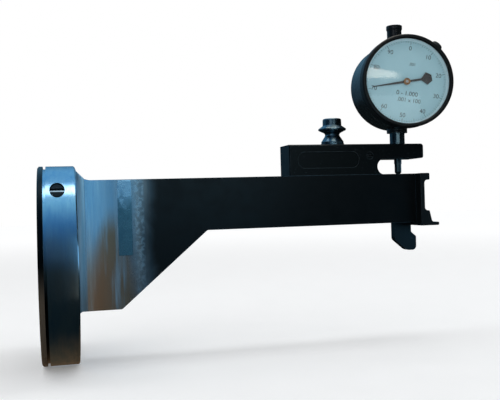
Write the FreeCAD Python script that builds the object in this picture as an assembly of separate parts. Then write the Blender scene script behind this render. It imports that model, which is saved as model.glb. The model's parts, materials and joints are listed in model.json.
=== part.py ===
import math
import os

import FreeCAD
import Part

# A flange-mounted depth gauge. A disc flange stands against the work. A flat arm runs out
# from it to a dial indicator, whose spindle rests on a measuring blade that slides through
# the arm's end. Sizes are in millimetres. Origin: centre of the flange's seat face.
# +X: out along the arm. +Z: up. The front, with the dial, faces -Y.

# Flange
flange_diameter = 112.8
flange_thickness = 20.2
flange_lip = 2.8
flange_groove_width = 1.6
flange_groove_depth = 1.6
flange_lead = 0.8
flange_edge_break = 0.6
set_screw_diameter = 7.9
set_screw_x = 10.4
set_screw_inset = 14.2
set_screw_length = 12.0
set_screw_recess = 0.4
set_screw_slot = 1.8
set_screw_slot_depth = 1.6

# Arm and web, one plate that runs out from the flange
arm_thickness = 19.05
arm_inset = 8.5
arm_height = 30.9
arm_beyond_stem = 7.3
web_bottom = -26.4
web_corner = 44.7
web_meets_arm = 95.6
web_corner_radius = 1.5
web_top_fillet = 8.8
web_root_fillet = 3.0
root_fillet_share = 0.5
top_fillet_sink = 2.2

# Measuring blade, in a slot that is open at the arm's end
blade_thickness = 5.6
blade_left = 4.7
blade_right = 6.6
blade_sink = 1.5
blade_play = 0.06
blade_travel = 4.0
foot_drop = 18.1
foot_side_height = 7.1
foot_side_radius = 3.0
foot_heel = 8.4
foot_heel_radius = 4.0
foot_nose = 3.4
foot_nose_height = 8.8
foot_nose_radius = 1.0
foot_toe_radius = 2.8
foot_throat_height = 11.7
foot_throat_radius = 1.5
anvil_diameter = 5.0
anvil_height = 1.6
anvil_shank_diameter = 2.5
anvil_shank = 4.0
stop_pin_diameter = 3.0
stop_pin_rise = 13.0
stop_pin_play = 0.05
stop_pin_front_skin = 3.0

# End shoe, a lipped plate that closes the slot
shoe_width = 33.0
shoe_web = 2.5
shoe_top_lip = 6.1
shoe_top_lip_height = 4.3
shoe_inner_radius = 2.0
shoe_step = 5.6
shoe_step_rise = 7.4
shoe_step_slant = 1.7
shoe_foot = 12.0
shoe_foot_height = 2.1
shoe_corner_radius = 0.8
shoe_screw_diameter = 3.0
shoe_screw_play = 0.1
shoe_screw_head = 5.2
shoe_screw_head_height = 1.8
shoe_screw_length = 7.5
shoe_screw_socket = 2.4
shoe_screw_rise = 13.2
shoe_screw_spacing = 7.0

# Holder block, on top of the arm
block_beyond_stem = 13.5
block_length = 89.9
block_height = 19.05
block_end_radius = 1.8
block_edge_break = 0.6
notch_before_stem = 18.6
notch_height = 9.8
notch_run_out = 0.3
recess_inset = 5.6
recess_length = 40.0
recess_rise = 4.5
recess_height = 10.0
recess_depth = 0.5
recess_radius = 4.6
dowel_diameter = 4.76
dowel_left_inset = 12.6
dowel_right_inset = 4.9
dowel_in_arm = 9.0
dowel_in_block = 14.5
lock_screw_diameter = 4.6
lock_screw_rise = 11.8
lock_screw_recess = 0.5
lock_screw_slot = 0.9
lock_screw_slot_depth = 1.0
stem_slit = 1.0
stem_clamp_offset = 8.9
stem_clamp_diameter = 3.0
stem_clamp_head = 5.4
stem_clamp_head_height = 3.0
stem_clamp_skin = 3.5
stem_clamp_socket = 2.5

# Clamp knob on its stud
knob_inset = 31.8
stud_diameter = 6.35
stud_in_arm = 12.0
stud_in_knob = 11.0
stud_play = 0.15
washer_diameter = 14.4
washer_thickness = 1.2
knob_foot_diameter = 13.0
knob_foot_height = 1.2
knob_neck_diameter = 9.6
knob_neck_start = 3.4
knob_neck_end = 6.2
knob_rim_diameter = 17.4
knob_rim_start = 8.7
knob_rim_height = 1.0
knob_boss_diameter = 12.2
knob_boss_start = 11.6
knob_height = 15.5
knob_top_radius = 1.2
knob_edge_radius = 0.4
knob_throat_radius = 2.0
knob_waist_radius = 2.2
knob_shoulder_radius = 0.8
knob_thread_play = 0.05

# Dial indicator: bezel and case, placed by the stem and the centre of the dial
stem_x = 223.8
dial_rise = 37.15
indicator_turn = 9.0
bezel_diameter = 57.15
bezel_front = 27.0
bezel_depth = 7.6
bezel_face = 2.575
bezel_lip = 1.3
bezel_window_land = 0.6
crystal_ledge = 1.2
rehaut_step = 0.2
bezel_front_radius = 1.0
bezel_rear_radius = 0.6
bezel_play = 0.08
case_step = 0.9
case_wall = 2.3
case_back = 9.0
case_edge_radius = 1.6
case_neck_wall = 1.6
case_neck_length = 2.1
case_gap = 0.1
case_ledge = 4.0
case_ledge_thickness = 1.6
boss_diameter = 13.0
boss_drop = 2.0
boss_inside = 3.0
top_boss_diameter = 11.0
top_boss_rise = 2.6
top_boss_inside = 2.2
cover_thickness = 1.6
cover_overlap = 0.3
cover_play = 0.05
cover_seat = 3.5
cover_seat_thickness = 2.2
cover_screw_diameter = 1.6
cover_screw_head = 3.0
cover_screw_head_height = 0.6
cover_screw_length = 3.0
cover_screws = 4
lug_thickness = 6.35
lug_width = 12.7
lug_reach = 13.5
lug_hole_diameter = 6.35
lug_corner_radius = 4.2
clamp_angle = 46.0
clamp_back = 14.4
clamp_plate_width = 7.0
clamp_plate_thickness = 1.0
clamp_plate_length = 9.5
clamp_plate_gap = 0.1
clamp_pad_gap = 0.6
clamp_head_diameter = 7.0
clamp_head_height = 4.2
clamp_shank_diameter = 3.0
clamp_shank = 2.4

# Stem, bushings and dust cap
stem_diameter = 9.525
stem_bore = 6.6
stem_play = 0.02
stem_inside = 4.0
bushing_length = 7.0
bushing_play = 0.03
bushing_wall = 1.1
cap_rim_diameter = 10.1
cap_rim_height = 2.4
cap_rim_taper = 0.8
cap_neck_diameter = 9.3
cap_bore = 6.8
cap_length = 9.2
cap_end = 1.2
cap_edge_radius = 0.5

# Crystal, dial and pointer
crystal_thickness = 1.0
dial_gap = 2.5
dial_thickness = 0.6
dial_hole = 3.2
pointer_gap = 0.5
pointer_thickness = 0.25
pointer_rest_angle = 187.6
pointer_rim_gap = 4.3
pointer_root = 1.6
pointer_tip = 0.4
tail_length = 16.0
tail_neck = 1.3
tail_blade = 6.6
tail_blade_width = 7.6
hub_diameter = 4.2
hub_height = 0.8

# Spindle with its rack
spindle_diameter = 4.76
spindle_stand = 2.0
contact_gap = 0.02
contact_diameter = 4.3
contact_nose = 1.6
contact_length = 6.5
contact_shank_diameter = 2.4
contact_shank = 3.6
collar_diameter = 7.4
collar_height = 1.6
rack_pitch = 0.79375
rack_line = 1.5
rack_beyond_mesh = 3.2
guide_pin_diameter = 1.4
guide_ledge_gap = 0.55
guide_pin_reach = 8.4
guide_play = 0.05
guide_inner = 6.4
guide_wall = 1.0
guide_end = 0.8

# Gear train, plates and spring
pinion_teeth = 16
wheel_teeth = 60
centre_teeth = 12
train_module = 0.25
tooth_share = 0.4
tooth_addendum = 0.8
tooth_dedendum = 1.25
tooth_slope = 0.36
mesh_play = 0.05
pinion_width = 3.2
wheel_front = 8.0
wheel_thickness = 0.8
wheel_hub_diameter = 4.4
wheel_hub_height = 1.0
leaf_overhang = 0.2
arbor_diameter = 1.6
pivot_play = 0.03
front_plate_gap = 0.4
front_plate_thickness = 1.2
front_plate_rim = 2.0
cock_front = 4.6
cock_thickness = 1.2
cock_width = 18.0
cock_height = 9.0
cock_rise = 4.5
cock_edge = 0.5
cock_pillar_spread = 12.0
bridge_front = 3.4
bridge_thickness = 1.2
bridge_case_gap = 2.0
bridge_height = 12.0
bridge_pillar_inset = 3.0
pillar_diameter = 3.0
plate_screw_diameter = 1.2
plate_screw_head = 1.8
plate_screw_head_height = 0.3
plate_screw_length = 2.4
plate_screws = 3
spring_diameter = 2.8
spring_wire = 0.5
spring_turns = 7
spring_offset = 4.7
spring_gap = 0.1
spring_post_diameter = 1.2
spring_post_drop = 13.4

# How far a cutting tool runs past the surface it opens
past = 1.0

# Places that follow from the sizes above
flange_radius = flange_diameter / 2
set_screw_z = flange_radius - set_screw_inset
arm_top = flange_radius - arm_inset
arm_end = stem_x + arm_beyond_stem
arm_bottom = arm_top - arm_height
arm_back = arm_thickness / 2
arm_front = -arm_back
blade_x0 = stem_x - blade_left
blade_x1 = stem_x + blade_right
blade_top = arm_top - blade_sink
anvil_top = blade_top + anvil_height
foot_bottom = arm_bottom - foot_drop
foot_side = foot_bottom + foot_side_height
foot_nose_top = foot_bottom + foot_nose_height
foot_throat = foot_bottom + foot_throat_height
stop_pin_z = arm_bottom + stop_pin_rise
shoe_step_top = arm_bottom + shoe_step_rise
shoe_bottom = arm_bottom - shoe_foot_height
shoe_screw_low = arm_bottom + shoe_screw_rise
block_top = arm_top + block_height
block_right = stem_x + block_beyond_stem
block_left = block_right - block_length
notch_left = stem_x - notch_before_stem
notch_top = arm_top + notch_height
tongue_middle = (notch_top + block_top) / 2
recess_left = block_left + recess_inset
recess_bottom = arm_top + recess_rise
dowel_left = block_left + dowel_left_inset
dowel_right = notch_left - dowel_right_inset
lock_screw_z = arm_top + lock_screw_rise
knob_x = block_left + knob_inset
knob_seat = block_top + washer_thickness
dial_z = block_top + dial_rise
bezel_window = bezel_diameter - 2 * bezel_face
case_diameter = bezel_diameter - 2 * case_step
case_radius = case_diameter / 2
case_inner = case_radius - case_wall
case_top = dial_z + case_radius
clamp_seat = bezel_diameter / 2 + clamp_plate_gap
clamp_plate_top = clamp_seat + clamp_plate_thickness
clamp_pad_front = bezel_depth - bezel_front + clamp_pad_gap
clamp_pad_back = clamp_plate_width / 2 - clamp_back
bushing_diameter = spindle_diameter + 2 * (bushing_play + bushing_wall)
case_shoulder = bezel_depth - bezel_front + case_gap
neck_radius = case_radius - case_wall + case_neck_wall
neck_front = case_shoulder - case_neck_length
bezel_bore = neck_radius + bezel_play
crystal_front = bezel_lip - bezel_front
crystal_back = crystal_front + crystal_thickness
dial_front = crystal_back + dial_gap
dial_back = dial_front + dial_thickness
pointer_back = dial_front - pointer_gap
pointer_front = pointer_back - pointer_thickness
pointer_length = bezel_window / 2 - pointer_rim_gap
front_plate_front = dial_back + front_plate_gap
front_plate_back = front_plate_front + front_plate_thickness
stem_bottom = notch_top
stem_top = dial_z - case_inner + stem_inside
top_boss_top = case_top + top_boss_rise
spindle_top = top_boss_top + spindle_stand
contact_tip = anvil_top + contact_gap
spindle_bottom = contact_tip + contact_length
shank_top = spindle_bottom + contact_shank
pinion_radius = pinion_teeth * rack_pitch / (2 * math.pi)
wheel_radius = wheel_teeth * train_module / 2
centre_radius = centre_teeth * train_module / 2
pinion_x = stem_x - rack_line - pinion_radius - mesh_play
train_distance = wheel_radius + centre_radius + mesh_play
pinion_z = dial_z - math.sqrt(train_distance**2 - (stem_x - pinion_x) ** 2)
bridge_drop = dial_z - pinion_z + bridge_height / 2
bridge_half = math.sqrt((case_inner - bridge_case_gap) ** 2 - bridge_drop**2)
bridge_pillar = bridge_half - bridge_pillar_inset
guide_outer = guide_pin_reach + guide_end
guide_half = guide_pin_diameter / 2 + guide_play
guide_top = math.sqrt((case_inner - case_ledge - guide_ledge_gap) ** 2 - guide_outer**2)
guide_slot_top = dial_z + guide_top - guide_wall
guide_pin_z = guide_slot_top - blade_travel - guide_half - guide_wall / 2
spring_x = stem_x + spring_offset
spring_post_z = dial_z - spring_post_drop


def vec(x, y, z):
    return FreeCAD.Vector(x, y, z)


def rod(diameter, start, end):
    along = end - start
    return Part.makeCylinder(diameter / 2, along.Length, start, along)


def box(x0, x1, y0, y1, z0, z1):
    return Part.makeBox(x1 - x0, y1 - y0, z1 - z0, vec(x0, y0, z0))


def rounded_face(corners, place):
    """A face inside corners (u, v) or (u, v, radius), each put in space by place(u, v)."""
    points = [FreeCAD.Vector(corner[0], corner[1], 0) for corner in corners]
    runs = []
    for i, corner in enumerate(corners):
        here = points[i]
        radius = corner[2] if len(corner) > 2 else 0
        back = (points[i - 1] - here).normalize()
        ahead = (points[(i + 1) % len(points)] - here).normalize()
        half = back.getAngle(ahead) / 2
        reach = radius / math.tan(half)
        towards = (back + ahead).normalize() if radius else here
        middle = here + towards * (radius / math.sin(half) - radius) if radius else here
        runs.append((here + back * reach, middle, here + ahead * reach, radius))
    edges = []
    for i, (start, middle, end, radius) in enumerate(runs):
        if radius:
            edges.append(Part.Arc(*[place(p.x, p.y) for p in (start, middle, end)]).toShape())
        following = runs[(i + 1) % len(runs)][0]
        if (following - end).Length > 1e-6:
            edges.append(Part.LineSegment(place(end.x, end.y), place(following.x, following.y)).toShape())
    return Part.Face(Part.Wire(edges))


def plate(corners, y0, y1):
    """An outline of (x, z, radius) corners, as thick as from y0 to y1."""
    return rounded_face(corners, lambda x, z: vec(x, y0, z)).extrude(vec(0, y1 - y0, 0))


def turned_x(corners):
    """A profile of (x, radius) corners, turned about the flange's axis."""
    face = rounded_face(corners, lambda x, r: vec(x, 0, r))
    return face.revolve(vec(0, 0, 0), vec(1, 0, 0), 360)


def turned_y(corners, x=stem_x, z=dial_z):
    """A profile of (radius, y) corners, turned about the line along Y at x, z."""
    face = rounded_face(corners, lambda r, y: vec(x + r, y, z))
    return face.revolve(vec(x, 0, z), vec(0, 1, 0), 360)


def turned_z(corners, x):
    """A profile of (radius, z) corners, turned about the line along Z at x."""
    face = rounded_face(corners, lambda r, z: vec(x + r, 0, z))
    return face.revolve(vec(x, 0, 0), vec(0, 0, 1), 360)


def join(*solids):
    return solids[0].multiFuse(list(solids[1:])).removeSplitter()


def cut(solid, *tools):
    for tool in tools:
        solid = solid.cut(tool)
    return solid


def group(solids):
    return Part.makeCompound(solids)


def bevelled(shape, size, y0, y1, lowest):
    """The shape with its edges on the planes y0 and y1 bevelled, above the height lowest."""
    chosen = []
    for edge in shape.Edges:
        span = edge.BoundBox
        flat = span.YLength < 1e-6 and min(abs(span.YMin - y0), abs(span.YMin - y1)) < 1e-6
        if flat and span.ZMax > lowest + 1e-6:
            chosen.append(edge)
    return shape.makeChamfer(size, chosen)


# Gauge frame and what is fixed in it


def flange():
    groove_end = flange_lip + flange_groove_width
    floor = flange_radius - flange_groove_depth
    rim = flange_thickness - flange_edge_break
    return turned_x(
        [
            (0, 0),
            (0, flange_radius - flange_lead),
            (flange_lead, flange_radius),
            (flange_lip, flange_radius),
            (flange_lip, floor),
            (groove_end, floor),
            (groove_end, flange_radius),
            (rim, flange_radius),
            (flange_thickness, flange_radius - flange_edge_break),
            (flange_thickness, 0),
        ]
    )


def arm_and_web():
    root = flange_thickness / 2
    corners = [
        (root, arm_top),
        (arm_end, arm_top),
        (arm_end, arm_bottom),
        (web_meets_arm, arm_bottom, web_corner_radius),
        (web_corner, web_bottom, web_corner_radius),
        (root, web_bottom),
    ]
    return plate(corners, arm_front, arm_back)


def root_edges(shape):
    """The edges where the plate meets the flange's inner face."""
    found = []
    for edge in shape.Edges:
        span = edge.BoundBox
        on_face = span.XLength < 1e-6 and abs(span.XMin - flange_thickness) < 1e-6
        if on_face and max(-span.YMin, span.YMax) < arm_back + 1e-6:
            found.append(edge)
    return found


def root_fillet():
    """The root fillet's radius, limited by the flat between the arm's corners and the rim."""
    flat = flange_radius - flange_edge_break - math.hypot(arm_top, arm_back)
    return min(web_root_fillet, root_fillet_share * flat)


def top_fillet():
    """The large fillet from the arm's top to the flange, trimmed to the flange's rim."""
    inside = flange_thickness - top_fillet_sink
    low = arm_top - top_fillet_sink
    far = flange_thickness + web_top_fillet
    high = arm_top + web_top_fillet + flange_edge_break
    corners = [
        (inside, low),
        (far, low),
        (far, arm_top),
        (flange_thickness, arm_top, web_top_fillet),
        (flange_thickness, high),
        (inside, high),
    ]
    solid = plate(corners, arm_front, arm_back)
    rim = rod(2 * (flange_radius - flange_edge_break), vec(0, 0, 0), vec(far, 0, 0))
    return solid.common(rim)


def set_screw_seat():
    """The y of the set screw's front: just inside the flange where its hole is shallowest."""
    high = set_screw_z + set_screw_diameter / 2
    return set_screw_recess - math.sqrt(flange_radius**2 - high**2)


def blade_slot():
    side = blade_thickness / 2 + blade_play
    return box(blade_x0 - blade_play, arm_end + past, -side, side, arm_bottom - past, arm_top + past)


def shoe_screw_places():
    """The axes (y, z) of the shoe's screws, midway through the cheeks beside the slot."""
    middle = (blade_thickness / 2 + blade_play + arm_back) / 2
    heights = (shoe_screw_low, shoe_screw_low + shoe_screw_spacing)
    return [(side * middle, height) for side in (-1, 1) for height in heights]


def gauge_frame():
    body = join(flange(), arm_and_web())
    body = body.makeFillet(root_fillet(), root_edges(body))
    body = join(body, top_fillet())
    seat = set_screw_seat()
    screw_hole = rod(
        set_screw_diameter,
        vec(set_screw_x, -flange_radius, set_screw_z),
        vec(set_screw_x, seat + set_screw_length, set_screw_z),
    )
    above = arm_top + past
    stud_hole = rod(stud_diameter, vec(knob_x, 0, above), vec(knob_x, 0, arm_top - stud_in_arm))
    holes = [screw_hole, stud_hole, blade_slot()]
    for x in (dowel_left, dowel_right):
        holes.append(rod(dowel_diameter, vec(x, 0, above), vec(x, 0, arm_top - dowel_in_arm)))
    skin = arm_front + stop_pin_front_skin
    pin_hole_end = vec(stem_x, arm_back + past, stop_pin_z)
    holes.append(rod(stop_pin_diameter, vec(stem_x, skin, stop_pin_z), pin_hole_end))
    depth = arm_end + shoe_web - shoe_screw_length
    for y, z in shoe_screw_places():
        holes.append(rod(shoe_screw_diameter, vec(depth, y, z), vec(arm_end + past, y, z)))
    return cut(body, *holes)


def flange_set_screw():
    seat = set_screw_seat()
    body = rod(
        set_screw_diameter,
        vec(set_screw_x, seat, set_screw_z),
        vec(set_screw_x, seat + set_screw_length, set_screw_z),
    )
    half = set_screw_slot / 2
    slot = box(
        set_screw_x - set_screw_diameter,
        set_screw_x + set_screw_diameter,
        seat - past,
        seat + set_screw_slot_depth,
        set_screw_z - half,
        set_screw_z + half,
    )
    return cut(body, slot)


def stop_pin():
    skin = arm_front + stop_pin_front_skin
    return rod(stop_pin_diameter, vec(stem_x, skin, stop_pin_z), vec(stem_x, arm_back, stop_pin_z))


def end_shoe():
    lip = arm_end + shoe_top_lip
    web = arm_end + shoe_web
    lip_low = arm_top - shoe_top_lip_height
    step = arm_end + shoe_step
    foot = arm_end + shoe_foot
    corners = [
        (arm_end, arm_top),
        (lip, arm_top, shoe_corner_radius),
        (lip, lip_low, shoe_corner_radius),
        (web, lip_low, shoe_inner_radius),
        (web, shoe_step_top, shoe_inner_radius),
        (step, shoe_step_top, shoe_corner_radius),
        (step + shoe_step_slant, arm_bottom, shoe_inner_radius),
        (foot, arm_bottom, shoe_corner_radius),
        (foot, shoe_bottom, shoe_corner_radius),
        (arm_end, shoe_bottom),
    ]
    body = plate(corners, -shoe_width / 2, shoe_width / 2)
    hole = shoe_screw_diameter + 2 * shoe_screw_play
    holes = [rod(hole, vec(arm_end - past, y, z), vec(foot, y, z)) for y, z in shoe_screw_places()]
    return cut(body, *holes)


def end_shoe_screws():
    seat = arm_end + shoe_web
    screws = []
    top = seat + shoe_screw_head_height
    for y, z in shoe_screw_places():
        head = rod(shoe_screw_head, vec(seat, y, z), vec(top, y, z))
        shank = rod(shoe_screw_diameter, vec(seat - shoe_screw_length, y, z), vec(seat, y, z))
        socket = rod(shoe_screw_socket, vec((seat + top) / 2, y, z), vec(top + past, y, z))
        screws.append(cut(join(head, shank), socket))
    return group(screws)


# Measuring blade


def stop_slot():
    """The blade's upright slot. Its top end hangs on the stop pin when the blade is down."""
    radius = stop_pin_diameter / 2 + stop_pin_play
    high = stop_pin_z + radius
    low = stop_pin_z - blade_travel - radius
    corners = [
        (stem_x - radius, low, radius),
        (stem_x + radius, low, radius),
        (stem_x + radius, high, radius),
        (stem_x - radius, high, radius),
    ]
    return plate(corners, -blade_thickness, blade_thickness)


def measuring_blade():
    nose = blade_x1 + foot_nose
    corners = [
        (blade_x0, blade_top),
        (blade_x1, blade_top),
        (blade_x1, foot_throat, foot_throat_radius),
        (nose, foot_nose_top, foot_nose_radius),
        (nose, foot_bottom, foot_toe_radius),
        (blade_x0 + foot_heel, foot_bottom, foot_heel_radius),
        (blade_x0, foot_side, foot_side_radius),
    ]
    body = plate(corners, -blade_thickness / 2, blade_thickness / 2)
    shank_hole = rod(
        anvil_shank_diameter, vec(stem_x, 0, blade_top + past), vec(stem_x, 0, blade_top - anvil_shank)
    )
    return cut(body, stop_slot(), shank_hole)


def anvil_button():
    head = rod(anvil_diameter, vec(stem_x, 0, blade_top), vec(stem_x, 0, anvil_top))
    shank = rod(anvil_shank_diameter, vec(stem_x, 0, blade_top - anvil_shank), vec(stem_x, 0, blade_top))
    return join(head, shank)


# Holder block and what is fixed in it


def notch():
    """The open slot under the block's tongue, with a full round at its closed end."""
    low = arm_top - notch_run_out
    radius = (notch_top - low) / 2
    far = block_right + notch_height
    corners = [(notch_left, low, radius), (far, low), (far, notch_top), (notch_left, notch_top, radius)]
    return plate(corners, arm_front - past, arm_back + past)


def recess(y0, y1):
    right = recess_left + recess_length
    top = recess_bottom + recess_height
    outline = [(recess_left, recess_bottom), (right, recess_bottom), (right, top), (recess_left, top)]
    return plate([(x, z, recess_radius) for x, z in outline], y0, y1)


def holder_block():
    corners = [
        (block_left, arm_top),
        (block_right, arm_top),
        (block_right, block_top, block_end_radius),
        (block_left, block_top),
    ]
    body = plate(corners, arm_front, arm_back)
    body = bevelled(body, block_edge_break, arm_front, arm_back, arm_top)
    clamp_x = stem_x + stem_clamp_offset
    head_seat = arm_back - stem_clamp_head_height
    half_slit = stem_slit / 2
    bored = stem_diameter + 2 * stem_play
    stud_bore = stud_diameter + 2 * stud_play
    below = arm_top - past
    above = block_top + past
    lock_seat = vec(dowel_right, arm_front - past, lock_screw_z)
    tools = [
        notch(),
        recess(arm_front - past, arm_front + recess_depth),
        recess(arm_back - recess_depth, arm_back + past),
        rod(bored, vec(stem_x, 0, notch_top - past), vec(stem_x, 0, above)),
        box(stem_x, block_right + past, -half_slit, half_slit, notch_top - past, above),
        rod(
            stem_clamp_diameter,
            vec(clamp_x, arm_front + stem_clamp_skin, tongue_middle),
            vec(clamp_x, arm_back, tongue_middle),
        ),
        rod(
            stem_clamp_head,
            vec(clamp_x, head_seat, tongue_middle),
            vec(clamp_x, arm_back + past, tongue_middle),
        ),
        rod(stud_bore, vec(knob_x, 0, below), vec(knob_x, 0, above)),
        rod(lock_screw_diameter, lock_seat, vec(dowel_right, 0, lock_screw_z)),
    ]
    for x in (dowel_left, dowel_right):
        tools.append(rod(dowel_diameter, vec(x, 0, below), vec(x, 0, arm_top + dowel_in_block)))
    body = cut(body, *tools)
    return round_tongue(body)


def round_tongue(body):
    """Rounds the tongue's lower end edge like its upper one."""
    chosen = []
    for edge in body.Edges:
        span = edge.BoundBox
        across = span.XLength < 1e-6 and span.ZLength < 1e-6 and span.YLength > stem_slit
        if across and abs(span.XMin - block_right) < 1e-6 and abs(span.ZMin - notch_top) < 1e-6:
            chosen.append(edge)
    return body.makeFillet(block_end_radius, chosen)


def holder_dowels():
    low = arm_top - dowel_in_arm
    high = arm_top + dowel_in_block
    return group([rod(dowel_diameter, vec(x, 0, low), vec(x, 0, high)) for x in (dowel_left, dowel_right)])


def pin_lock_screw():
    """A slotted set screw in the block's front that bears on the right-hand dowel."""
    head = arm_front + lock_screw_recess
    body = rod(lock_screw_diameter, vec(dowel_right, head, lock_screw_z), vec(dowel_right, 0, lock_screw_z))
    dowel = rod(dowel_diameter, vec(dowel_right, 0, arm_top), vec(dowel_right, 0, block_top))
    half = lock_screw_slot / 2
    slot = box(
        dowel_right - lock_screw_diameter,
        dowel_right + lock_screw_diameter,
        head - past,
        head + lock_screw_slot_depth,
        lock_screw_z - half,
        lock_screw_z + half,
    )
    return cut(body, dowel, slot)


def stem_clamp_screw():
    x = stem_x + stem_clamp_offset
    z = tongue_middle
    seat = arm_back - stem_clamp_head_height
    tip = arm_front + stem_clamp_skin
    top = arm_back - block_edge_break / 2
    head = rod(stem_clamp_head, vec(x, seat, z), vec(x, top, z))
    shank = rod(stem_clamp_diameter, vec(x, tip, z), vec(x, seat, z))
    socket = rod(stem_clamp_socket, vec(x, (seat + top) / 2, z), vec(x, top + past, z))
    return cut(join(head, shank), socket)


def knob_stud():
    low = arm_top - stud_in_arm
    return rod(stud_diameter, vec(knob_x, 0, low), vec(knob_x, 0, knob_seat + stud_in_knob))


def knob_washer():
    body = rod(washer_diameter, vec(knob_x, 0, block_top), vec(knob_x, 0, knob_seat))
    low = vec(knob_x, 0, block_top - past)
    hole = rod(stud_diameter + 2 * stud_play, low, vec(knob_x, 0, knob_seat + past))
    return cut(body, hole)


def clamp_knob():
    foot = knob_foot_diameter / 2
    neck = knob_neck_diameter / 2
    rim = knob_rim_diameter / 2
    boss = knob_boss_diameter / 2
    shape = [
        (0, 0),
        (foot, 0),
        (foot, knob_foot_height, knob_edge_radius),
        (neck, knob_neck_start, knob_throat_radius),
        (neck, knob_neck_end, knob_waist_radius),
        (rim, knob_rim_start, knob_edge_radius),
        (rim, knob_rim_start + knob_rim_height, knob_edge_radius),
        (boss, knob_boss_start, knob_shoulder_radius),
        (boss, knob_height, knob_top_radius),
        (0, knob_height),
    ]
    body = turned_z([(c[0], knob_seat + c[1], *c[2:]) for c in shape], knob_x)
    depth = knob_seat + stud_in_knob + stud_play
    low = vec(knob_x, 0, knob_seat - past)
    thread = rod(stud_diameter + 2 * knob_thread_play, low, vec(knob_x, 0, depth))
    return cut(body, thread)


# Indicator case, stem and bezel


def swung(shape):
    """Turns a shape built on the dial's +X side to the bezel clamp's place."""
    turned = shape.copy()
    turned.rotate(vec(stem_x, 0, dial_z), vec(0, 1, 0), -clamp_angle)
    return turned


def clamp_ring_box(inner, outer, y0, y1):
    half = clamp_plate_width / 2
    return swung(box(stem_x + inner, stem_x + outer, y0, y1, dial_z - half, dial_z + half))


def clamp_rod(diameter, inner, outer):
    low = vec(stem_x + inner, -clamp_back, dial_z)
    return swung(rod(diameter, low, vec(stem_x + outer, -clamp_back, dial_z)))


def around_dial(radius, count, first=90):
    """Places (x, z) spaced evenly on a circle about the dial's axis."""
    angles = [math.radians(first + 360 * i / count) for i in range(count)]
    return [(stem_x + radius * math.cos(a), dial_z + radius * math.sin(a)) for a in angles]


def cover_screw_places():
    return around_dial(case_inner - cover_seat / 2, cover_screws, 45)


def plate_screw_places():
    return around_dial(case_inner - (case_ledge + front_plate_rim) / 2, plate_screws)


def case_shell():
    cover_edge = case_inner + cover_overlap
    cover_front = case_back - cover_thickness
    seat_front = cover_front - cover_seat_thickness
    seat_inner = case_inner - cover_seat
    ledge_back = front_plate_back + case_ledge_thickness
    return turned_y(
        [
            (case_inner, neck_front),
            (neck_radius, neck_front),
            (neck_radius, case_shoulder),
            (case_radius, case_shoulder),
            (case_radius, case_back, case_edge_radius),
            (cover_edge, case_back),
            (cover_edge, cover_front),
            (seat_inner, cover_front),
            (seat_inner, seat_front),
            (case_inner, seat_front),
            (case_inner, ledge_back),
            (case_inner - case_ledge, ledge_back),
            (case_inner - case_ledge, front_plate_back),
            (case_inner, front_plate_back),
        ]
    )


def indicator_case():
    boss_low = dial_z - case_radius - boss_drop
    boss_high = dial_z - case_inner + boss_inside
    top_low = dial_z + case_inner - top_boss_inside
    lower_boss = rod(boss_diameter, vec(stem_x, 0, boss_low), vec(stem_x, 0, boss_high))
    upper_boss = rod(top_boss_diameter, vec(stem_x, 0, top_low), vec(stem_x, 0, top_boss_top))
    pad = clamp_ring_box(case_radius - case_wall / 2, clamp_seat, clamp_pad_front, clamp_pad_back)
    body = join(case_shell(), lower_boss, upper_boss, pad)
    cover_front = case_back - cover_thickness
    tools = [
        rod(
            stem_diameter + 2 * stem_play,
            vec(stem_x, 0, boss_low - past),
            vec(stem_x, 0, boss_high + past),
        ),
        rod(bushing_diameter, vec(stem_x, 0, top_low - past), vec(stem_x, 0, top_boss_top + past)),
        clamp_rod(clamp_shank_diameter, clamp_seat - clamp_shank, clamp_seat + past),
    ]
    for x, z in cover_screw_places():
        low = vec(x, case_back - cover_screw_head_height - cover_screw_length, z)
        tools.append(rod(cover_screw_diameter, low, vec(x, cover_front + past, z)))
    for x, z in plate_screw_places():
        low = vec(x, front_plate_front + plate_screw_length, z)
        tools.append(rod(plate_screw_diameter, vec(x, front_plate_front, z), low))
    return cut(body, *tools)


def case_cover():
    """The back cover, with a lug that takes a cross bolt."""
    radius = case_inner + cover_overlap - cover_play
    front = case_back - cover_thickness
    disc = rod(2 * radius, vec(stem_x, front, dial_z), vec(stem_x, case_back, dial_z))
    half = lug_width / 2
    tip = case_back + lug_reach
    corners = [
        (case_back - cover_thickness / 2, dial_z - half),
        (tip, dial_z - half, lug_corner_radius),
        (tip, dial_z + half, lug_corner_radius),
        (case_back - cover_thickness / 2, dial_z + half),
    ]
    side = stem_x - lug_thickness / 2
    lug = rounded_face(corners, lambda y, z: vec(side, y, z)).extrude(vec(lug_thickness, 0, 0))
    hole_y = tip - half
    far_side = side + lug_thickness + past
    hole = rod(lug_hole_diameter, vec(side - past, hole_y, dial_z), vec(far_side, hole_y, dial_z))
    tools = [hole]
    for x, z in cover_screw_places():
        tools.append(rod(cover_screw_diameter, vec(x, front - past, z), vec(x, case_back, z)))
        low = case_back - cover_screw_head_height
        tools.append(rod(cover_screw_head, vec(x, low, z), vec(x, case_back + past, z)))
    return cut(join(disc, lug), *tools)


def case_cover_screws():
    screws = []
    low = case_back - cover_screw_head_height
    for x, z in cover_screw_places():
        head = rod(cover_screw_head, vec(x, low, z), vec(x, case_back, z))
        shank = rod(cover_screw_diameter, vec(x, low - cover_screw_length, z), vec(x, low, z))
        screws.append(join(head, shank))
    return group(screws)


def bezel_clamp_plate():
    """A small plate on the case's pad. Its front end overhangs the bezel's rim."""
    front = clamp_pad_back - clamp_plate_length
    body = clamp_ring_box(clamp_seat, clamp_plate_top, front, clamp_pad_back)
    hole = clamp_rod(clamp_shank_diameter + 2 * pivot_play, clamp_seat - past, clamp_plate_top + past)
    return cut(body, hole)


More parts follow.
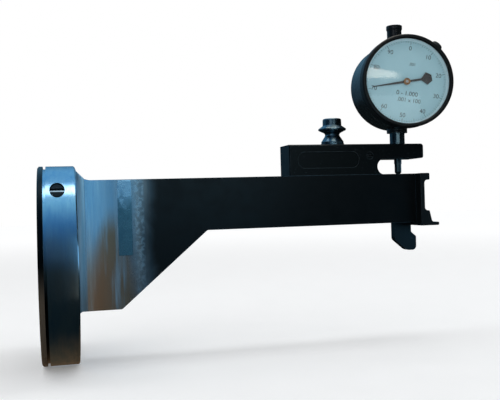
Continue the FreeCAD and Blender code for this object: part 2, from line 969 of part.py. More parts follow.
def bezel_clamp_screw():
    head = clamp_rod(clamp_head_diameter, clamp_plate_top, clamp_plate_top + clamp_head_height)
    shank = clamp_rod(clamp_shank_diameter - 2 * pivot_play, clamp_seat - clamp_shank, clamp_plate_top)
    return join(head, shank)


def indicator_stem():
    body = rod(stem_diameter, vec(stem_x, 0, stem_bottom), vec(stem_x, 0, stem_top))
    return cut(body, rod(stem_bore, vec(stem_x, 0, stem_bottom - past), vec(stem_x, 0, stem_top + past)))


def bushing(diameter, low):
    high = low + bushing_length
    body = rod(diameter, vec(stem_x, 0, low), vec(stem_x, 0, high))
    bore = spindle_diameter + 2 * bushing_play
    return cut(body, rod(bore, vec(stem_x, 0, low - past), vec(stem_x, 0, high + past)))


def lower_bushing():
    return bushing(stem_bore, stem_bottom)


def upper_bushing():
    return bushing(bushing_diameter, top_boss_top - bushing_length)


def dust_cap():
    bore = cap_bore / 2
    neck = cap_neck_diameter / 2
    rim = cap_rim_diameter / 2
    top = top_boss_top + cap_length
    corners = [
        (bore, top_boss_top),
        (neck, top_boss_top),
        (neck, top - cap_rim_height - cap_rim_taper),
        (rim, top - cap_rim_height),
        (rim, top, cap_edge_radius),
        (0, top),
        (0, top - cap_end),
        (bore, top - cap_end),
    ]
    return turned_z(corners, stem_x)


def bezel_ring():
    outer = bezel_diameter / 2
    window = bezel_window / 2
    rear = bezel_depth - bezel_front
    chamfer = bezel_lip - bezel_window_land
    return turned_y(
        [
            (window, crystal_front),
            (window, crystal_front - bezel_window_land),
            (window + chamfer, -bezel_front),
            (outer, -bezel_front, bezel_front_radius),
            (outer, rear, bezel_rear_radius),
            (bezel_bore, rear),
            (bezel_bore, dial_front),
            (window + rehaut_step, dial_front),
            (window + rehaut_step, crystal_back),
            (window + crystal_ledge, crystal_back),
            (window + crystal_ledge, crystal_front),
        ]
    )


def crystal():
    diameter = bezel_window + 2 * (crystal_ledge - cover_play)
    return rod(diameter, vec(stem_x, crystal_front, dial_z), vec(stem_x, crystal_back, dial_z))


def dial_face():
    body = rod(2 * neck_radius, vec(stem_x, dial_front, dial_z), vec(stem_x, dial_back, dial_z))
    start = vec(stem_x, dial_front - past, dial_z)
    return cut(body, rod(dial_hole, start, vec(stem_x, dial_back + past, dial_z)))


# Pointer and its arbor


def at_rest(along, across):
    """A place on the resting pointer, as x and z."""
    angle = math.radians(pointer_rest_angle)
    x = stem_x + along * math.cos(angle) - across * math.sin(angle)
    return x, dial_z + along * math.sin(angle) + across * math.cos(angle)


def pointer():
    neck = tail_neck / 2
    wide = tail_blade_width / 2
    start = tail_blade - tail_length
    widest = tail_blade / 2 - tail_length
    needle = [(0, -pointer_root / 2), (pointer_length, -pointer_tip / 2)]
    needle += [(along, -across) for along, across in reversed(needle)]
    tail = [(0, -neck), (start, -neck), (widest, -wide), (-tail_length, -wide / 2)]
    tail += [(along, -across) for along, across in reversed(tail)]
    body = rod(hub_diameter, vec(stem_x, pointer_front, dial_z), vec(stem_x, pointer_back, dial_z))
    for outline in (needle, tail):
        body = join(body, plate([at_rest(*point) for point in outline], pointer_front, pointer_back))
    start = vec(stem_x, pointer_front - past, dial_z)
    hole = rod(arbor_diameter, start, vec(stem_x, pointer_back + past, dial_z))
    return cut(body, hole)


def pointer_hub():
    front = pointer_front - hub_height
    body = rod(hub_diameter, vec(stem_x, front, dial_z), vec(stem_x, pointer_front, dial_z))
    start = vec(stem_x, front - past, dial_z)
    hole = rod(arbor_diameter, start, vec(stem_x, pointer_front + past, dial_z))
    return cut(body, hole)


def gear(teeth, module, x, z, first, y0, y1):
    """A spur gear about the line along Y at x, z. first is the angle of one tooth's middle."""
    half = tooth_share * math.pi * module / 2
    tip = half - tooth_slope * tooth_addendum * module
    root = half + tooth_slope * tooth_dedendum * module
    outer = teeth * module / 2 + tooth_addendum * module
    inner = teeth * module / 2 - tooth_dedendum * module
    corners = []
    for i in range(teeth):
        angle = first + 2 * math.pi * i / teeth
        for out, side in ((inner, -root), (outer, -tip), (outer, tip), (inner, root)):
            across = out * math.cos(angle) - side * math.sin(angle)
            corners.append((x + across, z + out * math.sin(angle) + side * math.cos(angle)))
    return plate(corners, y0, y1)


def train_angle():
    """The direction from the wheel's arbor to the pointer's arbor."""
    return math.atan2(dial_z - pinion_z, stem_x - pinion_x)


def centre_arbor():
    back = cock_thickness - cock_front
    front = pointer_front - hub_height
    first = train_angle() + math.pi + math.pi / centre_teeth
    y0 = -wheel_front - leaf_overhang
    y1 = wheel_thickness - wheel_front + leaf_overhang
    leaf = gear(centre_teeth, train_module, stem_x, dial_z, first, y0, y1)
    return join(rod(arbor_diameter, vec(stem_x, front, dial_z), vec(stem_x, back, dial_z)), leaf)


def rack_pinion():
    back = bridge_front + bridge_thickness
    half = pinion_width / 2
    leaf = gear(pinion_teeth, rack_pitch / math.pi, pinion_x, pinion_z, 0, -half, half)
    front = vec(pinion_x, front_plate_front, pinion_z)
    return join(rod(arbor_diameter, front, vec(pinion_x, back, pinion_z)), leaf)


def gear_wheel():
    y0 = -wheel_front
    y1 = y0 + wheel_thickness
    rim = gear(wheel_teeth, train_module, pinion_x, pinion_z, train_angle(), y0, y1)
    hub_back = y1 + wheel_hub_height
    hub = rod(wheel_hub_diameter, vec(pinion_x, y1, pinion_z), vec(pinion_x, hub_back, pinion_z))
    start = vec(pinion_x, y0 - past, pinion_z)
    hole = rod(arbor_diameter, start, vec(pinion_x, hub_back + past, pinion_z))
    return cut(join(rim, hub), hole)


# Movement plates


def pivot_hole(x, z):
    """A running hole for an arbor, long enough for every plate."""
    return rod(arbor_diameter + 2 * pivot_play, vec(x, -bezel_front, z), vec(x, case_back, z))


def movement_plate():
    radius = case_inner - front_plate_rim
    start = vec(stem_x, front_plate_front, dial_z)
    body = rod(2 * radius, start, vec(stem_x, front_plate_back, dial_z))
    holes = [pivot_hole(stem_x, dial_z), pivot_hole(pinion_x, pinion_z)]
    for x, z in plate_screw_places():
        start = vec(x, front_plate_front - past, z)
        holes.append(rod(plate_screw_diameter, start, vec(x, front_plate_back + past, z)))
    return cut(body, *holes)


def movement_screws():
    screws = []
    for x, z in plate_screw_places():
        seat = vec(x, front_plate_front, z)
        head = rod(plate_screw_head, vec(x, front_plate_front - plate_screw_head_height, z), seat)
        tip = vec(x, front_plate_front + plate_screw_length, z)
        screws.append(join(head, rod(plate_screw_diameter, seat, tip)))
    return group(screws)


def centre_cock():
    top = dial_z + cock_rise + pillar_diameter / 2 + cock_edge
    half = cock_width / 2
    back = cock_thickness - cock_front
    body = box(stem_x - half, stem_x + half, -cock_front, back, top - cock_height, top)
    return cut(body, pivot_hole(stem_x, dial_z))


def rear_bridge():
    rise = bridge_height / 2
    back = bridge_front + bridge_thickness
    left = stem_x - bridge_half
    right = stem_x + bridge_half
    body = box(left, right, bridge_front, back, pinion_z - rise, pinion_z + rise)
    return cut(body, pivot_hole(pinion_x, pinion_z))


def movement_pillars():
    pillars = []
    for side in (-1, 1):
        x = stem_x + side * bridge_pillar
        seat = vec(x, front_plate_back, pinion_z)
        pillars.append(rod(pillar_diameter, seat, vec(x, bridge_front, pinion_z)))
        x = stem_x + side * cock_pillar_spread / 2
        z = dial_z + cock_rise
        pillars.append(rod(pillar_diameter, vec(x, front_plate_back, z), vec(x, -cock_front, z)))
    return group(pillars)


def spindle_guide():
    """A slotted post on the front plate that keeps the spindle from turning."""
    x0 = stem_x + guide_inner
    x1 = stem_x + guide_outer
    low = guide_pin_z - guide_half - guide_wall
    body = box(x0, x1, front_plate_back, guide_half + guide_wall, low, guide_slot_top + guide_wall)
    slot = box(x0 - past, x1 + past, -guide_half, guide_half, low - past, guide_slot_top)
    return cut(body, slot)


# Spindle


def rack_gaps():
    """The rack's tooth spaces. One is level with the pinion's axis at rest."""
    module = rack_pitch / math.pi
    half = (1 - tooth_share) * rack_pitch / 2
    outer = stem_x - spindle_diameter
    inner = stem_x - rack_line + tooth_dedendum * module
    mouth = half + tooth_slope * (spindle_diameter - rack_line)
    floor = half - tooth_slope * tooth_dedendum * module
    above = int((rack_beyond_mesh - half) / rack_pitch)
    below = int((blade_travel + rack_beyond_mesh - half) / rack_pitch)
    gaps = []
    for i in range(-below, above + 1):
        z = pinion_z + i * rack_pitch
        corners = [(outer, z - mouth), (inner, z - floor), (inner, z + floor), (outer, z + mouth)]
        gaps.append(plate(corners, -spindle_diameter, spindle_diameter))
    return gaps


def spindle():
    body = rod(spindle_diameter, vec(stem_x, 0, spindle_bottom), vec(stem_x, 0, spindle_top))
    collar = rod(collar_diameter, vec(stem_x, 0, stem_top), vec(stem_x, 0, stem_top + collar_height))
    flat = stem_x - rack_line - tooth_addendum * rack_pitch / math.pi
    low = pinion_z - blade_travel - rack_beyond_mesh
    high = pinion_z + rack_beyond_mesh
    tools = [box(stem_x - spindle_diameter, flat, -spindle_diameter, spindle_diameter, low, high)]
    tools += rack_gaps()
    shank_start = vec(stem_x, 0, spindle_bottom - past)
    tools.append(rod(contact_shank_diameter, shank_start, vec(stem_x, 0, shank_top)))
    pin_start = vec(stem_x, 0, guide_pin_z)
    tools.append(rod(guide_pin_diameter, pin_start, vec(stem_x + spindle_diameter, 0, guide_pin_z)))
    return cut(join(body, collar), *tools)


def contact_point():
    radius = contact_diameter / 2
    corners = [
        (0, contact_tip),
        (radius, contact_tip, contact_nose),
        (radius, spindle_bottom),
        (contact_shank_diameter / 2, spindle_bottom),
        (contact_shank_diameter / 2, shank_top),
        (0, shank_top),
    ]
    return turned_z(corners, stem_x)


def guide_pin():
    return rod(guide_pin_diameter, vec(stem_x, 0, guide_pin_z), vec(stem_x + guide_pin_reach, 0, guide_pin_z))


def spring_post():
    start = vec(spring_x, -spring_diameter / 2, spring_post_z)
    return rod(spring_post_diameter, start, vec(spring_x, bridge_front, spring_post_z))


def spindle_spring():
    radius = (spring_diameter - spring_wire) / 2
    low = spring_post_z + spring_post_diameter / 2 + spring_gap + spring_wire / 2
    high = guide_pin_z - guide_pin_diameter / 2 - spring_gap - spring_wire / 2
    helix = Part.makeHelix((high - low) / spring_turns, high - low, radius)
    section = Part.Wire(Part.makeCircle(spring_wire / 2, vec(radius, 0, 0), vec(0, 1, 0)))
    coil = Part.Wire(helix.Edges).makePipeShell([section], True, True)
    coil.translate(vec(spring_x, 0, low))
    return coil


def turned_on_stem(shape):
    """Turns a shape about the stem's axis, so that the dial looks a little towards the flange."""
    shape.rotate(vec(stem_x, 0, 0), vec(0, 0, 1), -indicator_turn)
    return shape


holder_pieces = [
    gauge_frame,
    flange_set_screw,
    stop_pin,
    end_shoe,
    end_shoe_screws,
    measuring_blade,
    anvil_button,
    holder_block,
    holder_dowels,
    pin_lock_screw,
    stem_clamp_screw,
    knob_stud,
    knob_washer,
    clamp_knob,
]
indicator_pieces = [
    indicator_case,
    case_cover,
    case_cover_screws,
    bezel_clamp_plate,
    bezel_clamp_screw,
    indicator_stem,
    lower_bushing,
    upper_bushing,
    dust_cap,
    bezel_ring,
    crystal,
    dial_face,
    pointer,
    pointer_hub,
    centre_arbor,
    rack_pinion,
    gear_wheel,
    movement_plate,
    movement_screws,
    centre_cock,
    rear_bridge,
    movement_pillars,
    spindle_guide,
    spindle,
    contact_point,
    guide_pin,
    spring_post,
    spindle_spring,
]

os.makedirs("parts", exist_ok=True)
for piece in holder_pieces:
    piece().exportStep(f"parts/{piece.__name__}.step")
for piece in indicator_pieces:
    turned_on_stem(piece()).exportStep(f"parts/{piece.__name__}.step")
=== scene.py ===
# %% [markdown]
# # A flange-mounted depth gauge
# The real gauge is a lathe-turned flange with a flat steel arm, a clamp block and a dial
# indicator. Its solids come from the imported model, at their true size and place. This lesson
# dresses them: a camera at the photograph's view, soft studio light, steel and enamel finishes
# made from nodes, and the fine pieces that plain solids lack, such as knurls and dial marks.

import json
import math

import bmesh
import bpy
from mathutils import Matrix, Vector


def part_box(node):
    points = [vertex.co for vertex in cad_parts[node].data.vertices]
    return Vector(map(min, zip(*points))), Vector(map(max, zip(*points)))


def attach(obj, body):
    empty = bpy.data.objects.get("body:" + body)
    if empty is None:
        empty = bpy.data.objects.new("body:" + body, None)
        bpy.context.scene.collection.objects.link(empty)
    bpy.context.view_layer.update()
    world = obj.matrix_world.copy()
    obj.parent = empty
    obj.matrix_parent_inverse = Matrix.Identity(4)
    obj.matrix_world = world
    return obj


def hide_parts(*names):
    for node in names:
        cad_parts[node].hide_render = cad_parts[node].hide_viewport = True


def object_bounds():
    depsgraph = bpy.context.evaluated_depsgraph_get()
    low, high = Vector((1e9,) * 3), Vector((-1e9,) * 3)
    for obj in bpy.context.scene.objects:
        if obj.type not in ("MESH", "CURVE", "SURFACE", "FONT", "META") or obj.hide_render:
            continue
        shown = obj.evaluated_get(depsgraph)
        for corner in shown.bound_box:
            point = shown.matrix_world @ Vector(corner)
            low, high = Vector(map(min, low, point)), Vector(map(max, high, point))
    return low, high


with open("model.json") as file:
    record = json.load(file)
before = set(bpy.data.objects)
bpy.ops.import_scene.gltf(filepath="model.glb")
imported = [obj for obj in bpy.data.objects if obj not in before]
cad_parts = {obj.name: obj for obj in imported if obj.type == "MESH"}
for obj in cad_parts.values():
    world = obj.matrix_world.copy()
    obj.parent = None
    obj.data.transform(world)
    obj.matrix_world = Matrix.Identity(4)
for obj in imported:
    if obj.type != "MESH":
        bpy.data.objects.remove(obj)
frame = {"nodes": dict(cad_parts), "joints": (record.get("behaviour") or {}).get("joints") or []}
nodes = frame["nodes"]
cad_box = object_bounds()
MM = 0.001
box_mm = [[round(v / MM, 1) for v in corner] for corner in cad_box]
print("solids:", len(nodes), "box in mm:", box_mm)


def mm(*values):
    """A vector given in millimetres."""
    return Vector(values) * MM


def middle(node_name):
    low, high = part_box(node_name)
    return (low + high) / 2


# %% [markdown]
# ## Camera
# The photograph was taken from the front, level with the arm and a little to the left, with the
# camera tipped slightly to one side. A camera is a position and three directions, so its matrix
# is built from a heading, a height and a tilt. The lens is given as a focal length in pixels of
# the 500 pixel wide picture, which is how it was measured.

# %% Camera
PICTURE_WIDTH = 500
FOCAL_PIXELS = 735
SENSOR_WIDTH = 36.0
CAMERA_PLACE = mm(10.86, -435.35, 34.72)
CAMERA_HEADING = math.radians(-14.62)
CAMERA_HEIGHT = math.radians(0.09)
CAMERA_TILT = math.radians(1.63)


def placed(name, data, place=Matrix()):
    """A new object in the scene, put in its place by a matrix."""
    made = bpy.data.objects.new(name, data)
    made.matrix_world = place
    bpy.context.scene.collection.objects.link(made)
    return made


def add_camera():
    heading, height, tilt = CAMERA_HEADING, CAMERA_HEIGHT, CAMERA_TILT
    back = Vector(
        (
            math.sin(heading) * math.cos(height),
            -math.cos(heading) * math.cos(height),
            math.sin(height),
        )
    )
    right = Vector((math.cos(heading), math.sin(heading), 0))
    up = back.cross(right)
    tilted_right = right * math.cos(tilt) - up * math.sin(tilt)
    tilted_up = right * math.sin(tilt) + up * math.cos(tilt)
    lens = bpy.data.cameras.new("camera")
    lens.sensor_width = SENSOR_WIDTH
    lens.lens = FOCAL_PIXELS * SENSOR_WIDTH / PICTURE_WIDTH
    turn = Matrix((tilted_right, tilted_up, back)).transposed().to_4x4()
    camera = placed("camera", lens, Matrix.Translation(CAMERA_PLACE) @ turn)
    bpy.context.scene.camera = camera
    return camera


camera = add_camera()
bpy.context.scene.view_settings.view_transform = "Standard"
print("lens in mm:", round(camera.data.lens, 2))

# %% [markdown]
# ## Small helpers for nodes
# A material is a tree of nodes. Adding a node, setting its values and linking its sockets is the
# same three steps each time, so one helper does them: a value that is itself a socket is linked,
# and any other value is typed in. The rest are short names for the few sums used below.


# %% Node helpers
def node(tree, kind, inputs=None, **settings):
    made = tree.nodes.new("ShaderNode" + kind)
    for name, value in settings.items():
        setattr(made, name, value)
    for name, value in (inputs or {}).items():
        if isinstance(value, bpy.types.NodeSocket):
            tree.links.new(value, made.inputs[name])
        else:
            made.inputs[name].default_value = value
    return made


def maths(tree, operation, *values):
    return node(tree, "Math", dict(enumerate(values)), operation=operation).outputs[0]


def fit(tree, value, from_low, from_high, to_low=0.0, to_high=1.0, smooth=False):
    """Maps a value from one range to another and stops it at the ends."""
    names = ("Value", "From Min", "From Max", "To Min", "To Max")
    inputs = dict(zip(names, (value, from_low, from_high, to_low, to_high)))
    kind = "SMOOTHSTEP" if smooth else "LINEAR"
    return node(tree, "MapRange", inputs, interpolation_type=kind).outputs["Result"]


MIX_FACTOR, MIX_A, MIX_B, MIX_COLOUR = 0, 6, 7, 2


def mix_colour(tree, factor, first, second):
    inputs = {MIX_FACTOR: factor, MIX_A: first, MIX_B: second}
    return node(tree, "Mix", inputs, data_type="RGBA").outputs[MIX_COLOUR]


def rgb(red, green, blue):
    """A colour given as it looks on screen, 0 to 255, turned into the renderer's linear values."""
    shown = [value / 255 for value in (red, green, blue)]
    return tuple(v / 12.92 if v < 0.04 else ((v + 0.055) / 1.055) ** 2.4 for v in shown) + (1.0,)


# %% [markdown]
# ## Room
# A polished part shows the room more than it shows its own colour. The photograph was taken under
# a ceiling light in a dim room: the flange's rim has one white band where it mirrors the ceiling,
# fades through steel blue and is nearly black where it mirrors the room. So the world has three
# looks, told apart by Light Path: white where the camera sees it, an even soft light for dull
# surfaces, and for mirror-like ones a room that is dark in front and pale behind and on the
# right. The room's colours lie on a ramp of height, from 0, straight down, to 1, straight up.

# %% Room
ROOM_STEPS = (
    (0.0, rgb(20, 27, 29)),
    (0.46, rgb(18, 27, 32)),
    (0.52, rgb(20, 38, 50)),
    (0.66, rgb(36, 74, 104)),
    (0.80, rgb(68, 132, 180)),
    (0.95, rgb(150, 214, 244)),
)
BEHIND_LOW, BEHIND_HIGH = rgb(58, 90, 110), rgb(124, 188, 228)
BEHIND_FROM, BEHIND_TO = 0.52, 0.72
BACK_STARTS, BACK_FULL = 0.0, 0.5
RIGHT_WALL = rgb(122, 184, 220)
RIGHT_STARTS, RIGHT_FULL = 0.38, 0.6
SOFT_LIGHT = 0.66
WHITE, BLACK = (1, 1, 1, 1), (0, 0, 0, 1)


def ramp(tree, value, steps):
    """A colour that follows a value through (position, colour) steps."""
    made = node(tree, "ValToRGB", {"Fac": value})
    elements = made.color_ramp.elements
    for position, colour in steps[1:-1]:
        elements.new(position).color = colour
    for element, step in ((elements[0], steps[0]), (elements[-1], steps[-1])):
        element.position, element.color = step
    return made.outputs["Color"]


def build_world():
    world = bpy.data.worlds.new("studio")
    bpy.context.scene.world = world
    world.use_nodes = True
    tree = world.node_tree
    tree.nodes.clear()
    path = node(tree, "LightPath").outputs
    way = node(tree, "TexCoord").outputs["Generated"]
    parts = node(tree, "SeparateXYZ", {"Vector": way}).outputs
    angle = maths(tree, "DIVIDE", maths(tree, "ARCSINE", parts["Z"]), math.pi)
    height = maths(tree, "ADD", angle, 0.5)
    back_wall = fit(tree, height, BEHIND_FROM, BEHIND_TO)
    back_wall = mix_colour(tree, back_wall, BEHIND_LOW, BEHIND_HIGH)
    behind = fit(tree, parts["Y"], BACK_STARTS, BACK_FULL, smooth=True)
    beside = fit(tree, parts["X"], RIGHT_STARTS, RIGHT_FULL, smooth=True)
    mirrored = mix_colour(tree, behind, ramp(tree, height, ROOM_STEPS), back_wall)
    mirrored = mix_colour(tree, beside, mirrored, RIGHT_WALL)
    soft = (SOFT_LIGHT, SOFT_LIGHT, SOFT_LIGHT, 1)
    lit = mix_colour(tree, path["Is Glossy Ray"], soft, mirrored)
    seen = maths(tree, "MAXIMUM", path["Is Camera Ray"], path["Is Transmission Ray"])
    background = node(tree, "Background", {"Color": mix_colour(tree, seen, lit, WHITE)})
    output = node(tree, "OutputWorld")
    tree.links.new(background.outputs[0], output.inputs["Surface"])


build_world()
print("room colours at heights", [height for height, colour in ROOM_STEPS])

# %% [markdown]
# ## Floor
# The photograph is a cut-out on white, and a plain pale floor with the gauge's soft shadow suits
# it. A shadow needs a floor that isn't quite white, and a white background needs one that is, so
# the floor glows a little for the rays that Light Path names: those of the camera, and those that
# are mirrored in metal or pass through glass. The glow is weaker near the gauge, where the shadow
# has to show.

# %% Floor
FLOOR_REACH = 3.0
FLOOR_COLOUR = (0.86, 0.87, 0.88, 1)
MOTTLE_SCALE, MOTTLE_DARKEST = 40.0, 0.97
FLOOR_GLOW_NEAR, FLOOR_GLOW_FAR = 0.20, 0.43
LIT_REACH, UNLIT_REACH = 0.25, 1.6
NOISE_LOW, NOISE_HIGH = 0.3, 0.7


def sheet(name, corners, material):
    """A flat four-cornered stage sheet."""
    mesh = bpy.data.meshes.new(name)
    mesh.from_pydata(corners, [], [(0, 1, 2, 3)])
    mesh.materials.append(material)
    made = placed(name, mesh)
    return made


def flat_corners(x0, x1, y0, y1, z):
    return [(x0, y0, z), (x1, y0, z), (x1, y1, z), (x0, y1, z)]


def new_material(name):
    made = bpy.data.materials.new(name)
    made.use_nodes = True
    made.node_tree.nodes.clear()
    return made, made.node_tree


def finish_with(tree, shader):
    output = node(tree, "OutputMaterial")
    tree.links.new(shader.outputs[0], output.inputs["Surface"])


def floor_material():
    made, tree = new_material("pale floor")
    path = node(tree, "LightPath").outputs
    place = node(tree, "TexCoord").outputs["Object"]
    mottle = node(tree, "TexNoise", {"Vector": place, "Scale": MOTTLE_SCALE, "Detail": 4.0})
    shade = fit(tree, mottle.outputs["Fac"], NOISE_LOW, NOISE_HIGH, MOTTLE_DARKEST, 1.0)
    inputs = {0: FLOOR_COLOUR[:3], "Scale": shade}
    colour = node(tree, "VectorMath", inputs, operation="SCALE")
    paint = node(tree, "BsdfDiffuse", {"Color": colour.outputs[0]})
    seen = maths(tree, "MAXIMUM", path["Is Camera Ray"], path["Is Transmission Ray"])
    seen = maths(tree, "MAXIMUM", seen, path["Is Glossy Ray"])
    away = node(tree, "VectorMath", {0: place}, operation="LENGTH").outputs["Value"]
    glow = (FLOOR_GLOW_NEAR, FLOOR_GLOW_FAR)
    glow = fit(tree, away, LIT_REACH, UNLIT_REACH, *glow, smooth=True)
    glow = node(tree, "Emission", {"Strength": maths(tree, "MULTIPLY", seen, glow)})
    finish_with(tree, node(tree, "AddShader", {0: paint.outputs[0], 1: glow.outputs[0]}))
    return made


floor_z = cad_box[0].z
whole_floor = (-FLOOR_REACH, FLOOR_REACH, -FLOOR_REACH, FLOOR_REACH)
sheet("floor", flat_corners(*whole_floor, floor_z), floor_material())
print("floor at", round(floor_z / MM, 1), "mm")

# %% [markdown]
# ## Cards that only reflections see
# Photographers hold white and black cards beside shiny things, because metal shows whatever stands
# in front of it. These cards do that for reflections alone: they light nothing and cast no shadow.
# A dark bench lies in front of the gauge, with a brown edge under the flange. A pale card lights
# up the flat web and another the hollow beside it. A dark flag keeps the right wall off the stem.
# Two bright cards above the knob and one in front of the stem give them their glints, and a
# narrow one far off leaves the streak on the crystal.

# %% Cards
BENCH_COLOUR, BENCH_EDGE = rgb(24, 32, 34), rgb(96, 74, 54)
WEB_FOOT, WEB_TOP, WEB_FAR = rgb(158, 146, 130), rgb(146, 208, 244), rgb(98, 130, 152)
SIDE_FOOT, SIDE_TOP = rgb(84, 118, 138), rgb(180, 228, 250)
KNOB_GLOW, STEM_GLOW = rgb(255, 240, 222), rgb(214, 232, 236)
STREAK_GLOW, STREAK_LEFT = rgb(255, 244, 226), rgb(176, 190, 184)
KNOB_STRENGTH, STEM_STRENGTH, STREAK_STRENGTH = 2.8, 2.0, 8.0
BENCH_HEIGHT, CARD_FOOT, CARD_HEAD = floor_z + 0.5 * MM, floor_z + 1.0 * MM, 66 * MM
WEB_CARD_Y, STEM_CARD_Y, STREAK_Y = -0.12, -0.25, -0.9
FLAG_X, KNOB_CARD_Z = 0.3, 0.37


def card(name, corners, colour, fades=(), strength=1.0):
    """A card that only reflections see. Each fade is an axis, its range and a second colour."""
    material, tree = new_material(name)
    way = node(tree, "TexCoord").outputs["Generated"]
    parts = node(tree, "SeparateXYZ", {"Vector": way})
    for axis, start, end, second in fades:
        amount = fit(tree, parts.outputs[axis], start, end, smooth=True)
        colour = mix_colour(tree, amount, colour, second)
    finish_with(tree, node(tree, "Emission", {"Color": colour, "Strength": strength}))
    made = sheet(name, corners, material)
    for ray in ("camera", "diffuse", "transmission", "shadow", "volume_scatter"):
        setattr(made, "visible_" + ray, False)


def upright_corners(x0, x1, y, z0, z1):
    return [(x0, y, z0), (x1, y, z0), (x1, y, z1), (x0, y, z1)]


card("dark_bench", flat_corners(*whole_floor, BENCH_HEIGHT), BENCH_COLOUR)
bench_edge = flat_corners(-0.15, 0.06, -0.056, 0.03, CARD_FOOT)
card("bench_edge", bench_edge, BENCH_COLOUR, [("Y", 0.0, 0.5, BENCH_EDGE)])
web_card = upright_corners(0.0235, 0.064, WEB_CARD_Y, CARD_FOOT, CARD_HEAD)
card("web_card", web_card, WEB_FOOT, [("Z", 0.25, 0.75, WEB_TOP), ("X", 0.1, 0.8, WEB_FAR)])
side_card = upright_corners(0.064, 0.17, WEB_CARD_Y, CARD_FOOT, CARD_HEAD)
card("side_card", side_card, SIDE_FOOT, [("Z", 0.3, 0.9, SIDE_TOP)])
flag = [(FLAG_X, y, z) for y, z in ((-0.4, 0.066), (0.3, 0.066), (0.3, 0.25), (-0.4, 0.25))]
card("right_flag", flag, BENCH_COLOUR)
knob_top = flat_corners(0.16, 0.3, -0.04, 0.2, KNOB_CARD_Z)
card("knob_top_card", knob_top, KNOB_GLOW, strength=KNOB_STRENGTH)
knob_front = flat_corners(0.12, 0.25, -0.34, -0.06, KNOB_CARD_Z)
card("knob_front_card", knob_front, KNOB_GLOW, strength=KNOB_STRENGTH)
stem_card = upright_corners(0.05, 0.27, STEM_CARD_Y, 0.084, 0.12)
card("stem_card", stem_card, STEM_GLOW, strength=STEM_STRENGTH)
streak = ((0.18, 0.251), (0.342, 0.247), (0.342, 0.262), (0.18, 0.297))
streak_fades = [("X", 0.45, 0.0, STREAK_LEFT), ("X", 0.75, 1.0, BLACK)]
streak = [(x, STREAK_Y, z) for x, z in streak]
card("crystal_streak", streak, STREAK_GLOW, streak_fades, STREAK_STRENGTH)

# %% [markdown]
# ## Lamps
# A wide lamp under the ceiling makes the white band on the rim and the soft shadow. Two weak ones,
# in front and on the right, keep the dark pieces readable. An area lamp's size sets how soft its
# shadows are, and its watts and distance set how bright it is.

# %% Lamps
gauge_middle = (cad_box[0] + cad_box[1]) / 2
NEUTRAL, COOL = (0.97, 0.99, 1.0), (0.80, 0.92, 1.0)
LAMPS = (
    ("ceiling_light", (0.12, 0.05, 0.62), (0.12, 0.05, 0), (0.9, 0.17), 1.05, NEUTRAL),
    ("front_fill", (-0.45, -0.85, 0.55), gauge_middle, (0.5, 0.5), 0.6, NEUTRAL),
    ("side_fill", (0.95, -0.25, 0.2), gauge_middle, (0.6, 0.9), 0.7, COOL),
)


def lamp(name, place, target, size, watts, colour):
    """A soft area lamp at a place, facing a target. Size is its width and height in metres."""
    data = bpy.data.lights.new(name, "AREA")
    data.shape = "RECTANGLE"
    data.size, data.size_y = size
    data.energy = watts
    data.color = colour
    facing = (Vector(target) - Vector(place)).to_track_quat("-Z", "Y")
    placed(name, data, Matrix.Translation(place) @ facing.to_matrix().to_4x4())


for row in LAMPS:
    lamp(*row)
print("lamps, in watts:", [(row[0], row[4]) for row in LAMPS])

# %% [markdown]
# ## Effects that several finishes share
# Metal looks real through small things that change over its surface. Lathe work leaves fine rings,
# grinding leaves straight lines, edges rub bright, and hands leave smudges. Each is a node group,
# built once. A group gives only masks and values; each material decides what they do.


# %% Group helper
def shader_group(name, inputs, outputs):
    """An empty group with named sockets, and its input and output nodes."""
    group = bpy.data.node_groups.new(name, "ShaderNodeTree")
    for label, kind, value in inputs:
        kind = "NodeSocket" + kind
        socket = group.interface.new_socket(label, in_out="INPUT", socket_type=kind)
        if value is not None:
            socket.default_value = value
    for label, kind in outputs:
        group.interface.new_socket(label, in_out="OUTPUT", socket_type="NodeSocket" + kind)
    return group, group.nodes.new("NodeGroupInput"), group.nodes.new("NodeGroupOutput")


def use_group(tree, group, **inputs):
    """Places a group in a tree and gives back its outputs. size_mm sets the socket Size mm."""
    made = tree.nodes.new("ShaderNodeGroup")
    made.node_tree = group
    for name, value in inputs.items():
        socket = made.inputs[name.replace("_", " ").capitalize()]
        if isinstance(value, bpy.types.NodeSocket):
            tree.links.new(value, socket)
        else:
            socket.default_value = value
    return made.outputs


# %% [markdown]
# A turned surface has rings round its axis. Distance along the axis plus distance from the axis
# changes steadily over both a rim and a face, so one line of noise read along that sum gives
# rings on every turned surface of a piece.


# %% Turned rings
def build_turned_rings():
    inputs = [("Place", "Vector", None), ("Lines per mm", "Float", 6.0)]
    group, start, end = shader_group("turned rings", inputs, [("Lines", "Float")])
    parts = node(group, "SeparateXYZ", {"Vector": start.outputs["Place"]})
    flat = node(group, "CombineXYZ", {"X": parts.outputs["X"], "Y": parts.outputs["Y"]})
    radius = node(group, "VectorMath", {0: flat.outputs[0]}, operation="LENGTH").outputs["Value"]
    along = maths(group, "ADD", parts.outputs["Z"], radius)
    scale = maths(group, "DIVIDE", start.outputs["Lines per mm"], MM)
    w = maths(group, "MULTIPLY", along, scale)
    inputs = {"W": w, "Scale": 1.0, "Detail": 3.0, "Roughness": 0.65}
    lines = node(group, "TexNoise", inputs, noise_dimensions="1D").outputs["Fac"]
    group.links.new(fit(group, lines, 0.25, 0.75), end.inputs["Lines"])
    return group


turned_rings = build_turned_rings()


# %% [markdown]
# Grinding and brushing leave straight scratches. Stretching ordinary noise a long way in one
# direction does that: the group scales each axis by its own number of lines in a millimetre.


